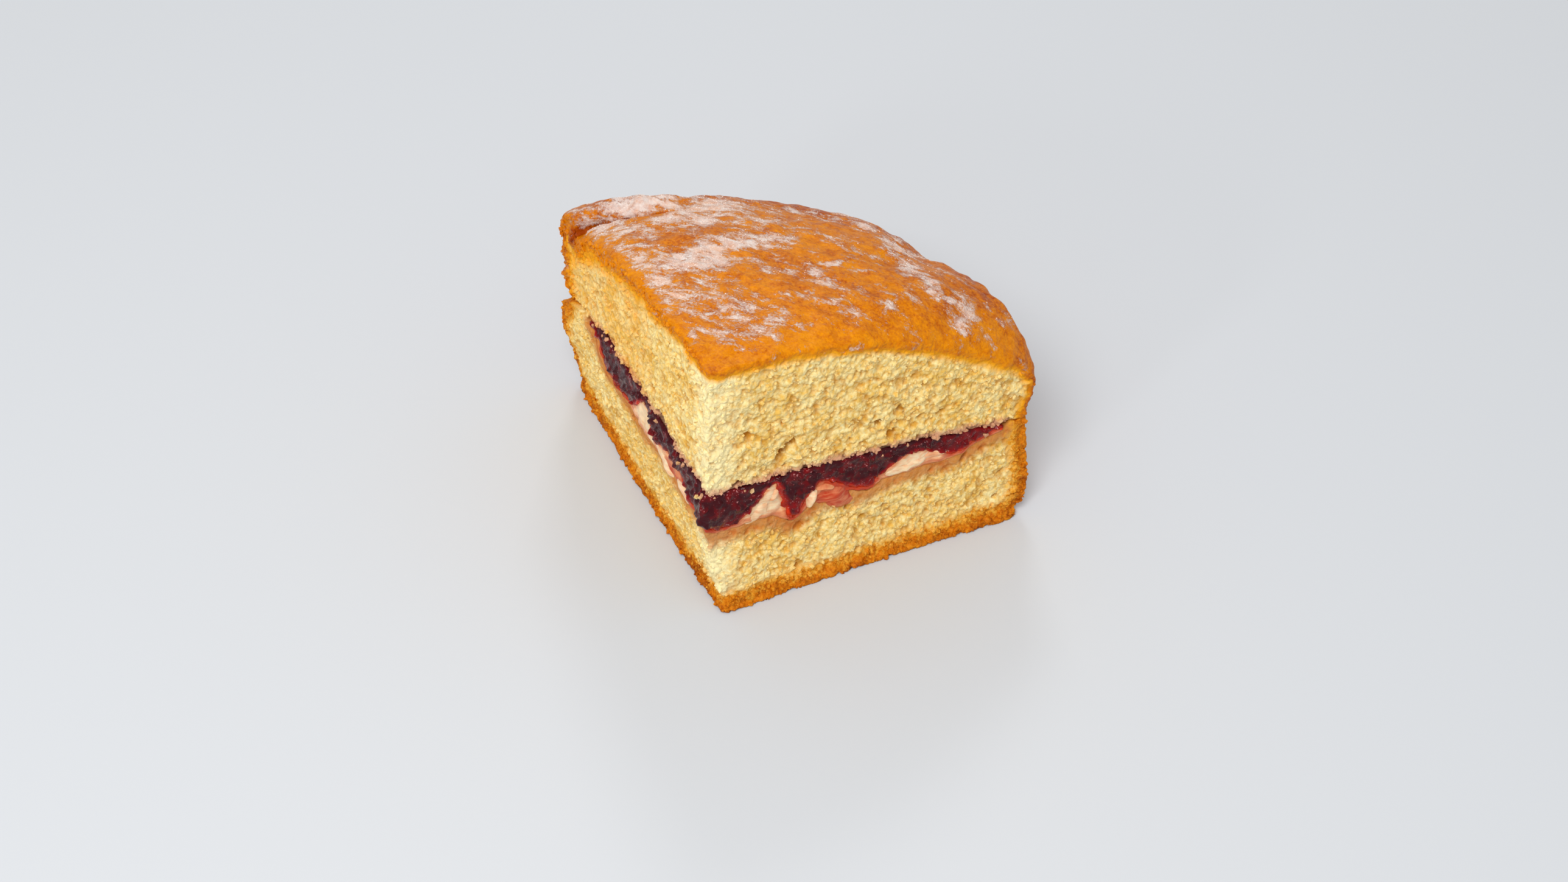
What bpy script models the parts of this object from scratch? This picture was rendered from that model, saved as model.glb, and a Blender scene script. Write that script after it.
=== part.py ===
"""A quarter slice of a victoria sponge cake, cut from a round cake and resting on its base.

Run with: blender --background --python part.py

Two layers of sponge hold a layer of cream and a layer of jam. Each of the four is one closed
solid. They share one grid: stations counted out from the tip of the slice, and turns in degrees
about the tip. The grid is spun and extruded flat, and then every vertex is carried to its place
by the functions below, which give a height and a radius for each place in the slice. All sizes
here are in millimetres. The model is in metres with +Z up: the tip points along -Y, the outer
crust faces +Y, and the two cut faces stand 45 degrees either side of +Y.
"""

import math

import bmesh
import bpy
from mathutils import Vector, noise

MM = 0.001

# The whole cake
CAKE_RADIUS = 88.0            # of the round cake that the slice is cut from
HALF_SLICE = 45.0             # degrees from the middle of the slice to each cut face
CROWN_HEIGHT = 81.0           # of the tip of the slice, which was the middle of the cake
AIR_GAP = 0.35                # between one layer and the next

# The grid that all four layers share
FILLING_STATIONS = 30         # from the tip to the edge of the filling
RIM_STATIONS = 7              # from the edge of the filling to the outer crust
TURN_STEPS = 14               # from one cut face to the other
SPONGE_LEVELS = 7             # up the sides of a sponge layer
FILLING_LEVELS = 2            # up the sides of a filling layer

# The outer wall, from the table up
BASE_RADIUS = 82.0            # of the flat base, inside the rounded lower corner
LOWER_CORNER = 9.0            # height of the rounded lower corner
SEAM_HEIGHT = 30.0            # where the two sponges meet at the outer crust
SEAM_RADIUS = 86.4
BULGE_HEIGHT = 45.0           # where the top sponge is widest
BULGE_RADIUS = 88.4

# The domed top, whose rounded shoulder is pressed down at the two cut faces
SHOULDER_BACK = 57.6
SHOULDER_LEFT = 50.0
SHOULDER_RIGHT = 43.6
PRESSED_TURN = 20.0           # degrees in from a cut face over which the shoulder is pressed down
PRESSED_POWER = 4.0
CROWN_ROUNDNESS = 0.80        # power of the dome: lower is flatter in the middle
ROLL_TURNS = (-44.0, -19.0)   # the puffed roll of crust along the left end of the rim
ROLL_FADES = (6.0, 9.0)       # degrees over which its left and its right end sink away
ROLL_HEIGHT = 58.6
ROLL_ROUND = 2.2              # how much higher the middle of the roll is
CREASE_INSET = 9.0            # from the outer crust to the crease in front of the roll
CREASE_DEPTH = 2.8
CREASE_HALF_WIDTH = 3.0
RIM_DENT_TURN = 20.0          # a shallow dent pressed into the back of the rim
RIM_DENT_DEPTH = 2.2
RIM_DENT_HALF_TURN = 6.5
CROWN_WAVE = 0.7              # how uneven the dome is
WALL_WAVE = 0.7               # how uneven the outer crust is
WAVE_LENGTH = 24.0

# The faces between the layers, at the left and at the right cut
UNDERSIDE_LEFT = 40.6         # of the top sponge, at the tip
UNDERSIDE_RIGHT = 39.3
UNDERSIDE_FALL = 9.3          # how far that face falls from the tip to the outer crust
FALL_POWER_LEFT = 6.0         # how late it falls
FALL_POWER_RIGHT = 2.0
TOPSIDE_LEFT = 29.3           # of the bottom sponge
TOPSIDE_RIGHT = 26.2
FILLING_EDGE_LEFT = 69.0      # how far out the filling reaches
FILLING_EDGE_RIGHT = 82.0
EDGE_TURN = 16.0              # degrees over which the filling's edge draws in at the left cut
EDGE_TAPER = 11.0             # length over which the filling thins out
THINNEST_FILLING = 0.55       # of the cream and of the jam, wherever they are thin

# The lean of the bottom sponge, whose cut was dragged sideways by the knife
LEAN_HEIGHT = 30.0
TIP_LEAN = (4.9, 1.4)
WALL_TWIST = 2.2              # degrees
LEAN_POWER = 1.3

# The bottom sponge bulges past the left cut, near its top and near the outer crust
SIDE_BULGE = 2.8
SIDE_BULGE_TURN = 12.0        # degrees from the left cut over which it fades
SIDE_BULGE_LEVELS = (0.35, 0.8)
SIDE_BULGE_POWER = 6.0        # how close to the outer crust it keeps

# The jam that has swollen out at the tip
TIP_SWELL = 2.6
TIP_SWELL_REACH = 10.0


class Fold:
    """One fold of the filling, seen at the cut as a streak that starts and ends at a radius."""

    def __init__(self, start, peak, end, size, turn, spread):
        self.start = start        # radius where the fold begins
        self.peak = peak          # radius where it is highest
        self.end = end            # radius where it ends
        self.size = size          # share of the filling, or depth in millimetres
        self.turn = turn          # degrees from the middle of the slice
        self.spread = spread      # degrees over which it fades away

    def at(self, radius, turn):
        """How much of the fold there is at one place."""
        rise = ease(self.start, self.peak, radius)
        fall = 1.0 - ease(self.peak, self.end, radius)
        return self.size * rise * fall * hump(turn, self.turn, self.spread)


# Cream that rises into the jam, as a share of the filling's height
CREAM_FOLDS = (
    Fold(6.0, 18.9, 20.9, 1.00, 45.0, 34.0),
    Fold(25.5, 29.5, 41.0, 0.55, 45.0, 30.0),
    Fold(45.0, 56.0, 69.5, 0.76, 45.0, 36.0),
    Fold(4.0, 22.0, 33.0, 0.45, -45.0, 34.0),
    Fold(29.0, 37.0, 45.0, 0.90, -45.0, 30.0),
    Fold(14.0, 26.0, 40.0, 0.60, 2.0, 26.0),
    Fold(44.0, 58.0, 74.0, 0.55, -4.0, 30.0),
)

# Hollows in the bottom sponge where jam has sunk in, as a depth
SUNKEN_JAM = (
    Fold(16.5, 22.5, 29.0, 4.4, 45.0, 26.0),
    Fold(38.5, 43.5, 48.0, 2.0, 45.0, 24.0),
    Fold(30.0, 48.0, 62.0, 1.6, 0.0, 30.0),
)


def mix(low, high, share):
    """The value that lies a share of the way from low to high."""
    return low + (high - low) * share


def ease(start, end, value):
    """A smooth step from 0 at start to 1 at end."""
    share = min(max((value - start) / (end - start), 0.0), 1.0)
    return share * share * (3.0 - 2.0 * share)


def hump(value, middle, reach):
    """1 at the middle, falling smoothly to 0 at a reach to either side."""
    return 1.0 - ease(0.0, reach, abs(value - middle))


def towards_right(turn):
    """0 at the left cut face and 1 at the right one."""
    return ease(-HALF_SLICE, HALF_SLICE, turn)


def wave(radius, turn, height, seed):
    """Slow unevenness between -1 and 1."""
    angle = math.radians(turn)
    place = Vector((radius * math.sin(angle), radius * math.cos(angle), height))
    return noise.noise(place / WAVE_LENGTH + Vector((seed, seed, seed)))


# ---------------------------------------------------------------- heights

def filling_edge(turn):
    """How far out the filling reaches."""
    drawn_in = 1.0 - ease(-HALF_SLICE, EDGE_TURN - HALF_SLICE, turn)
    return mix(FILLING_EDGE_RIGHT, FILLING_EDGE_LEFT, drawn_in)


def top_sponge_underside(radius, turn):
    """Height of the face under the top sponge, which sags towards the outer crust."""
    out = radius / CAKE_RADIUS
    left = UNDERSIDE_LEFT - UNDERSIDE_FALL * out ** FALL_POWER_LEFT
    right = UNDERSIDE_RIGHT - UNDERSIDE_FALL * out ** FALL_POWER_RIGHT
    return mix(left, right, towards_right(turn))


def bottom_sponge_topside(radius, turn):
    """Height of the face on the bottom sponge, which rises to meet the top sponge at the rim."""
    ceiling = top_sponge_underside(radius, turn)
    bed = mix(TOPSIDE_LEFT, TOPSIDE_RIGHT, towards_right(turn))
    bed -= sum(fold.at(radius, turn) for fold in SUNKEN_JAM)
    edge = filling_edge(turn)
    filling_end = ceiling - 3.0 * AIR_GAP - 2.0 * THINNEST_FILLING
    bed = mix(bed, filling_end, ease(edge - EDGE_TAPER, edge, radius))
    closed = ease(edge, mix(edge, CAKE_RADIUS, 0.5), radius)
    return mix(bed, ceiling - AIR_GAP, closed)


def cream_top(radius, turn):
    """Height of the face where the cream ends and the jam begins."""
    lowest = cream_underside(radius, turn) + THINNEST_FILLING
    highest = jam_top(radius, turn) - THINNEST_FILLING - AIR_GAP
    share = min(sum(fold.at(radius, turn) for fold in CREAM_FOLDS), 1.0)
    return mix(lowest, highest, share)


def cream_underside(radius, turn):
    """Height of the face where the cream lies on the bottom sponge."""
    return bottom_sponge_topside(radius, turn) + AIR_GAP


def jam_underside(radius, turn):
    """Height of the face where the jam lies on the cream."""
    return cream_top(radius, turn) + AIR_GAP


def jam_top(radius, turn):
    """Height of the face where the jam touches the top sponge."""
    return top_sponge_underside(radius, turn) - AIR_GAP


def flat_base(radius, turn):
    """Height of the base, which rests flat."""
    return 0.0


def shoulder(turn):
    """Height at the outer crust where the domed top starts."""
    pressed = SHOULDER_LEFT if turn < 0.0 else SHOULDER_RIGHT
    inwards = min((HALF_SLICE - abs(turn)) / PRESSED_TURN, 1.0)
    return mix(SHOULDER_BACK, pressed, (1.0 - inwards) ** PRESSED_POWER)


def with_rim_roll(height, radius, turn):
    """The dome with the puffed roll along the left of its rim, and the crease in front of it."""
    start, end = ROLL_TURNS
    fade_in, fade_out = ROLL_FADES
    along = ease(start - fade_in, start, turn) * (1.0 - ease(end - fade_out, end, turn))
    inset = CAKE_RADIUS - radius
    roll = ROLL_HEIGHT + ROLL_ROUND * hump(inset, CREASE_INSET / 2.0, CREASE_INSET / 2.0)
    behind_crease = 1.0 - ease(CREASE_INSET / 2.0, CREASE_INSET, inset)
    height = mix(height, max(height, roll), along * behind_crease)
    return height - along * CREASE_DEPTH * hump(inset, CREASE_INSET, CREASE_HALF_WIDTH)


def crown(radius, turn):
    """Height of the domed and browned top."""
    out = min(radius / CAKE_RADIUS, 1.0)
    dome = (1.0 - out * out) ** CROWN_ROUNDNESS
    height = mix(shoulder(turn), CROWN_HEIGHT, dome)
    height += CROWN_WAVE * wave(radius, turn, 0.0, 3.7) * out
    height -= RIM_DENT_DEPTH * hump(turn, RIM_DENT_TURN, RIM_DENT_HALF_TURN) * ease(0.8, 1.0, out)
    return with_rim_roll(height, radius, turn)


# ---------------------------------------------------------------- radius and lean

def wall_radius(height, turn):
    """Radius of the outer crust at one height."""
    if height < LOWER_CORNER:
        below = 1.0 - height / LOWER_CORNER
        radius = mix(BASE_RADIUS, CAKE_RADIUS, math.sqrt(1.0 - below * below))
    elif height < SEAM_HEIGHT:
        radius = mix(CAKE_RADIUS, SEAM_RADIUS, ease(LOWER_CORNER, SEAM_HEIGHT, height))
    else:
        radius = mix(SEAM_RADIUS, BULGE_RADIUS, ease(SEAM_HEIGHT, BULGE_HEIGHT, height))
        dent = RIM_DENT_DEPTH * hump(turn, RIM_DENT_TURN, RIM_DENT_HALF_TURN)
        radius -= dent * ease(SEAM_HEIGHT, BULGE_HEIGHT, height)
    return radius + WALL_WAVE * wave(CAKE_RADIUS, turn, height, 8.1)


def grid_radius(station, turn):
    """Radius of a station of the grid on a plain round cake."""
    edge = filling_edge(turn)
    if station <= FILLING_STATIONS:
        return edge * station / FILLING_STATIONS
    past = (station - FILLING_STATIONS) / RIM_STATIONS
    return mix(edge, CAKE_RADIUS, math.sin(math.radians(90.0 * min(past, 1.0))))


def place(radius, turn, height):
    """Where a place on a plain round cake ends up on this slice.

    The outer crust follows its own profile, and the bottom sponge leans: its tip is dragged
    sideways and its outer end is twisted about the tip.
    """
    out = radius / CAKE_RADIUS
    real_radius = radius + (wall_radius(height, turn) - CAKE_RADIUS) * out ** 3
    lean = max(1.0 - height / LEAN_HEIGHT, 0.0) ** LEAN_POWER
    angle = math.radians(turn + WALL_TWIST * lean * out)
    across = real_radius * math.sin(angle) + TIP_LEAN[0] * lean * (1.0 - out)
    along = real_radius * math.cos(angle) + TIP_LEAN[1] * lean * (1.0 - out)
    return Vector((across, along, height))


def stays_put(radius, turn, level):
    """No swelling."""
    return Vector((0.0, 0.0, 0.0))


def side_bulge(radius, turn, level):
    """How far the bottom sponge bulges sideways past the left cut."""
    size = SIDE_BULGE * hump(turn, -HALF_SLICE, SIDE_BULGE_TURN) * ease(*SIDE_BULGE_LEVELS, level)
    angle = math.radians(turn)
    outwards = Vector((-math.cos(angle), math.sin(angle), 0.0))
    return outwards * size * (radius / CAKE_RADIUS) ** SIDE_BULGE_POWER


def tip_swell(radius, turn, level):
    """How far the jam swells out sideways near the tip."""
    near_tip = 1.0 - ease(0.0, TIP_SWELL_REACH, radius)
    middle = 4.0 * level * (1.0 - level)
    side = 1.0 if turn > 0.0 else -1.0
    outward = Vector((side * 0.5, -1.0, 0.0)).normalized()
    on_cut = ease(HALF_SLICE - 1.0, HALF_SLICE, abs(turn))
    at_tip = 1.0 if radius < 0.01 else on_cut
    return outward * TIP_SWELL * near_tip * middle * at_tip


# ---------------------------------------------------------------- building

def flat_sector(mesh, stations):
    """Spin a row of stations about the tip into a flat quarter circle."""
    turn = math.radians(90.0 - HALF_SLICE)
    ray = Vector((math.cos(turn), math.sin(turn), 0.0))
    row = [mesh.verts.new(ray * station) for station in range(stations + 1)]
    edges = [mesh.edges.new(pair) for pair in zip(row, row[1:])]
    bmesh.ops.spin(mesh, geom=row + edges, cent=(0, 0, 0), axis=(0, 0, 1),
                   angle=math.radians(2.0 * HALF_SLICE), steps=TURN_STEPS)
    bmesh.ops.remove_doubles(mesh, verts=mesh.verts, dist=0.001)


def raise_through_levels(mesh, levels):
    """Extrude the flat sector upwards, one ring of side faces for each level."""
    top = list(mesh.faces)
    for level in range(levels):
        raised = bmesh.ops.extrude_face_region(mesh, geom=top)["geom"]
        bmesh.ops.translate(mesh, vec=(0, 0, 1),
                            verts=[part for part in raised if isinstance(part, bmesh.types.BMVert)])
        if level > 0:
            bmesh.ops.delete(mesh, geom=top, context="FACES")
        top = [part for part in raised if isinstance(part, bmesh.types.BMFace)]


def carry_to_place(mesh, levels, underside, topside, swelling):
    """Move every vertex from the flat grid to its place in the slice."""
    for vertex in mesh.verts:
        station = math.hypot(vertex.co.x, vertex.co.y)
        turn = 0.0 if station < 0.5 else math.degrees(math.atan2(vertex.co.x, vertex.co.y))
        level = vertex.co.z / levels
        radius = grid_radius(station, turn)
        height = mix(underside(radius, turn), topside(radius, turn), level)
        vertex.co = (place(radius, turn, height) + swelling(radius, turn, level)) * MM


def build_layer(name, material, stations, levels, underside, topside, swelling=stays_put):
    """One layer of the cake as a closed solid."""
    mesh = bmesh.new()
    flat_sector(mesh, stations)
    raise_through_levels(mesh, levels)
    carry_to_place(mesh, levels, underside, topside, swelling)
    bmesh.ops.triangulate(mesh, faces=mesh.faces, quad_method="SHORT_EDGE")
    bmesh.ops.recalc_face_normals(mesh, faces=mesh.faces)
    data = bpy.data.meshes.new(name)
    mesh.to_mesh(data)
    mesh.free()
    data.materials.append(material)
    layer = bpy.data.objects.new(name, data)
    bpy.context.collection.objects.link(layer)
    return layer


def make_material(name, colour, roughness):
    """A plain material without metal in it."""
    material = bpy.data.materials.new(name)
    material.use_nodes = True
    shader = material.node_tree.nodes["Principled BSDF"]
    shader.inputs["Base Color"].default_value = (*colour, 1.0)
    shader.inputs["Roughness"].default_value = roughness
    shader.inputs["Metallic"].default_value = 0.0
    material.diffuse_color = (*colour, 1.0)
    return material


def build_sponges():
    """The bottom and the top sponge, which reach the outer crust."""
    stations = FILLING_STATIONS + RIM_STATIONS
    crumb = make_material("sponge_crumb", (0.80, 0.58, 0.24), 0.9)
    golden = make_material("golden_sponge", (0.64, 0.27, 0.05), 0.7)
    bottom = build_layer("bottom_sponge", crumb, stations, SPONGE_LEVELS,
                         flat_base, bottom_sponge_topside, side_bulge)
    top = build_layer("top_sponge", golden, stations, SPONGE_LEVELS,
                      top_sponge_underside, crown)
    return [bottom, top]


def build_fillings():
    """The cream, and the jam above it, which stop short of the outer crust."""
    cream_colour = make_material("cream", (0.88, 0.70, 0.45), 0.5)
    jam_colour = make_material("jam", (0.12, 0.01, 0.015), 0.25)
    cream = build_layer("cream_filling", cream_colour, FILLING_STATIONS, FILLING_LEVELS,
                        cream_underside, cream_top)
    jam = build_layer("jam_filling", jam_colour, FILLING_STATIONS, FILLING_LEVELS,
                      jam_underside, jam_top, tip_swell)
    return [cream, jam]


def centre_on_base(layers):
    """Shift the slice so that the middle of its base box is at the origin."""
    places = [vertex.co for layer in layers for vertex in layer.data.vertices]
    low = Vector([min(place[axis] for place in places) for axis in range(3)])
    high = Vector([max(place[axis] for place in places) for axis in range(3)])
    middle = Vector(((low.x + high.x) / 2.0, (low.y + high.y) / 2.0, low.z))
    for layer in layers:
        for vertex in layer.data.vertices:
            vertex.co -= middle


def main():
    """Clear the scene and build the slice."""
    for item in list(bpy.data.objects):
        bpy.data.objects.remove(item, do_unlink=True)
    centre_on_base(build_sponges() + build_fillings())


main()
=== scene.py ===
"""The looks of a quarter slice of victoria sponge cake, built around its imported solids.

The two sponge layers, the cream and the jam are fine copies of their solids, with the open crumb,
the browned crust, the wet jam and the folds of cream worked into the mesh. Sugar grains and crumbs
are scattered over them as real small shapes. The sizes in the classes are millimetres, and the
scene itself is in metres.
"""

import logging
import math
from dataclasses import dataclass
from enum import Enum
from typing import Callable, Union

import bpy
import numpy as np
from mathutils import Matrix, Vector
from mathutils.bvhtree import BVHTree


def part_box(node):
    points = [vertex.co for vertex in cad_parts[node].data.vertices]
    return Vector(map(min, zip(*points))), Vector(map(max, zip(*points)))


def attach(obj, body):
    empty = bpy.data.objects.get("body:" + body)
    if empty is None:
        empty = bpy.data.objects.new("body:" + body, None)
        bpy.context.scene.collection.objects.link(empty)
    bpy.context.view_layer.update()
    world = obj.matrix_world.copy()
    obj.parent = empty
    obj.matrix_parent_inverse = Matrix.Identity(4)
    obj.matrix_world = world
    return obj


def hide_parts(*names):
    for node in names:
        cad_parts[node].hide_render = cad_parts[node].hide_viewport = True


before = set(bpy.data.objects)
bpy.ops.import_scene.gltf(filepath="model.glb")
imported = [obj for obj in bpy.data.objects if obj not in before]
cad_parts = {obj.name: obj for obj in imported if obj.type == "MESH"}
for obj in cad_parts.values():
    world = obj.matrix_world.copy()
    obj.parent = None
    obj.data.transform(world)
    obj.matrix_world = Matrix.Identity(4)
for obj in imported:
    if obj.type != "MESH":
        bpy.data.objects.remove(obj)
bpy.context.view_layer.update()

MM = 0.001
BODY = "root"
TRIANGLE_LIMIT = 196_000      # for one piece
COLOUR = "NodeSocketColor"
NUMBER = "NodeSocketFloat"
LOG = logging.getLogger("victoria_sponge")

Colour = tuple[float, float, float]
Point = tuple[float, float, float]
Pair = tuple[float, float]
Value = Union[float, int, tuple, bpy.types.NodeSocket]


class Cut(Enum):
    """The two cut faces of the slice, by which way they face."""

    LEFT = -1.0
    RIGHT = 1.0

    @property
    def outward(self) -> np.ndarray:
        """The direction in which the cut faces."""
        return np.array([self.value, -1.0, 0.0]) / math.sqrt(2.0)


class Mark(str, Enum):
    """What is stored at each vertex for the reliefs and the finishes to read."""

    CUT = "cut"          # 1 on the open crumb of a cut, 0 on baked skin
    CRUST = "crust"      # 1 at the baked skin, falling to 0 below it
    STAIN = "stain"      # 1 where the filling has soaked in, and on jam beside the top sponge
    SUGAR = "sugar"      # how much sugar was dusted here
    PIT = "pit"          # 1 in the hollows of the crumb, where shade is painted, 0 on its high places
    BLUSH = "blush"      # 1 where jam has coloured the cream
    SHADE = "shade"      # slow change of tone over a piece, with painted shade in the crease on the top sponge
    HOLLOW = "hollow"    # 1 in the few large holes of a cut, below 0 at the tip, where the crumb is flattened and a highlight is painted


def linear(value: int) -> float:
    """One screen value from 0 to 255, as linear light."""
    share = value / 255.0
    return share / 12.92 if share <= 0.04045 else ((share + 0.055) / 1.055) ** 2.4


def srgb(red: int, green: int, blue: int) -> Colour:
    """A colour given in screen values from 0 to 255, as linear light."""
    return linear(red), linear(green), linear(blue)


def ease(start: float, end: float, value: np.ndarray) -> np.ndarray:
    """A smooth step from 0 at start to 1 at end, for every value at once."""
    share = np.clip((value - start) / (end - start), 0.0, 1.0)
    return share * share * (3.0 - 2.0 * share)


def ridge(value: np.ndarray, middle: float, width: float) -> np.ndarray:
    """A soft ridge that is 1 at its middle, for every value at once."""
    return np.exp(-((value - middle) / width) ** 2)


# ------------------------------------------------------------------ node trees

class Sketch:
    """Places nodes in a tree and links them, for materials and geometry alike."""

    def __init__(self, tree: bpy.types.NodeTree) -> None:
        """Starts on a tree that may already hold nodes."""
        self.tree = tree

    def put(self, socket: bpy.types.NodeSocket, value: Value) -> None:
        """Links a socket to another one, or sets its own value."""
        if isinstance(value, bpy.types.NodeSocket):
            self.tree.links.new(value, socket)
        elif isinstance(value, tuple) and len(value) == 3 and socket.type == "RGBA":
            socket.default_value = (*value, 1.0)
        else:
            socket.default_value = value

    def node(self, kind: str, inputs: dict, **settings: object) -> bpy.types.Node:
        """Adds one node.

        Args:
            kind: the name of the node type.
            inputs: values or sockets, by the name or the number of the input.
            settings: the node's own properties.

        Returns:
            The new node.
        """
        node = self.tree.nodes.new(kind)
        for name, value in settings.items():
            setattr(node, name, value)
        for key, value in inputs.items():
            self.put(node.inputs[key], value)
        return node

    def math(self, operation: str, first: Value, second: Value = 0.0,
             clamp: bool = False) -> bpy.types.NodeSocket:
        """One sum of two numbers."""
        return self.node("ShaderNodeMath", {0: first, 1: second},
                         operation=operation, use_clamp=clamp).outputs[0]

    def plus(self, *values: Value) -> bpy.types.NodeSocket:
        """The sum of several numbers."""
        total = values[0]
        for value in values[1:]:
            total = self.math("ADD", total, value)
        return total

    def times(self, *values: Value) -> bpy.types.NodeSocket:
        """The product of several numbers."""
        total = values[0]
        for value in values[1:]:
            total = self.math("MULTIPLY", total, value)
        return total

    def ramp(self, value: Value, low: float, high: float, start: Value = 0.0,
             end: Value = 1.0, way: str = "LINEAR") -> bpy.types.NodeSocket:
        """A straight and clamped change from start at low to end at high."""
        return self.node("ShaderNodeMapRange",
                         {"Value": value, "From Min": low, "From Max": high,
                          "To Min": start, "To Max": end}, interpolation_type=way).outputs[0]

    def ease(self, value: Value, low: float, high: float,
             start: Value = 0.0, end: Value = 1.0) -> bpy.types.NodeSocket:
        """A smooth step from start at low to end at high."""
        return self.ramp(value, low, high, start, end, "SMOOTHSTEP")

    def vector(self, operation: str, first: Value, second: Value) -> bpy.types.NodeSocket:
        """One sum of two vectors."""
        return self.node("ShaderNodeVectorMath", {0: first, 1: second},
                         operation=operation).outputs[0]

    def stretched(self, place: Value, times: Point) -> bpy.types.NodeSocket:
        """A place multiplied along each axis."""
        return self.vector("MULTIPLY", place, times)

    def shifted(self, place: Value, offset: Point) -> bpy.types.NodeSocket:
        """A place moved along each axis."""
        return self.vector("ADD", place, offset)

    def scaled(self, vector: Value, factor: Value) -> bpy.types.NodeSocket:
        """A vector made longer or shorter."""
        return self.node("ShaderNodeVectorMath", {0: vector, "Scale": factor},
                         operation="SCALE").outputs[0]

    def in_millimetres(self, place: bpy.types.NodeSocket) -> bpy.types.NodeSocket:
        """A place in metres, given in millimetres."""
        return self.stretched(place, (1.0 / MM,) * 3)

    def object_place(self) -> bpy.types.NodeSocket:
        """The place on the object that a material is at, in millimetres."""
        return self.in_millimetres(self.node("ShaderNodeTexCoord", {}).outputs["Object"])

    def noise(self, place: Value, size: float, detail: float = 2.0, roughness: float = 0.5,
              twist: float = 0.0) -> bpy.types.NodeSocket:
        """Cloudy noise about 0.5, whose blotches are about one size across in place's units."""
        return self.node("ShaderNodeTexNoise",
                         {"Vector": place, "Scale": 1.0 / size, "Detail": detail,
                          "Roughness": roughness, "Distortion": twist}).outputs[0]

    def swing(self, place: Value, size: float, detail: float = 2.0, roughness: float = 0.5,
              twist: float = 0.0) -> bpy.types.NodeSocket:
        """The same noise about 0."""
        return self.plus(self.noise(place, size, detail, roughness, twist), -0.5)

    def cells(self, place: Value, size: float, metric: str = "EUCLIDEAN") -> tuple:
        """Scattered cells.

        Args:
            place: where to read them.
            size: how far apart they are, in place's units.
            metric: how distance is measured, which makes the cells rounder or squarer.

        Returns:
            The distance to the nearest cell's middle, and a random colour for the cell.
        """
        node = self.node("ShaderNodeTexVoronoi", {"Vector": place, "Scale": 1.0 / size},
                         distance=metric)
        return node.outputs["Distance"], node.outputs["Color"]

    def part_of(self, vector: bpy.types.NodeSocket, axis: int = 0) -> bpy.types.NodeSocket:
        """One of the three numbers of a vector or a random colour."""
        return self.node("ShaderNodeSeparateXYZ", {0: vector}).outputs[axis]

    def drift(self, place: Value, size: float, amount: float) -> bpy.types.NodeSocket:
        """A soft random offset of up to about half of amount each way."""
        cloud = self.node("ShaderNodeTexNoise", {"Vector": place, "Scale": 1.0 / size,
                                                 "Detail": 1.0}).outputs["Color"]
        return self.stretched(self.vector("SUBTRACT", cloud, (0.5,) * 3), (2.0 * amount,) * 3)

    def bent(self, place: Value, size: float, amount: float) -> bpy.types.NodeSocket:
        """A place moved by a soft random offset, so that patterns read there lose their order."""
        return self.vector("ADD", place, self.drift(place, size, amount))

    def lumps(self, place: Value, size: float) -> tuple:
        """Packed irregular lumps.

        Args:
            place: where to read them.
            size: how far apart they are, in place's units.

        Returns:
            Their height, 1 in the middle and about 0 between them, and a random number for each.
        """
        near, colour = self.cells(self.bent(place, 1.1 * size, 0.60 * size), size, "CHEBYCHEV")
        share = self.times(near, 1.55)
        height = self.math("SUBTRACT", 1.0, self.times(share, share), clamp=True)
        return height, self.part_of(colour)

    def blend(self, share: Value, first: Value, second: Value) -> bpy.types.NodeSocket:
        """Two colours mixed by a share."""
        return self.node("ShaderNodeMix", {"Factor": share, 6: first, 7: second},
                         data_type="RGBA").outputs[2]


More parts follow.
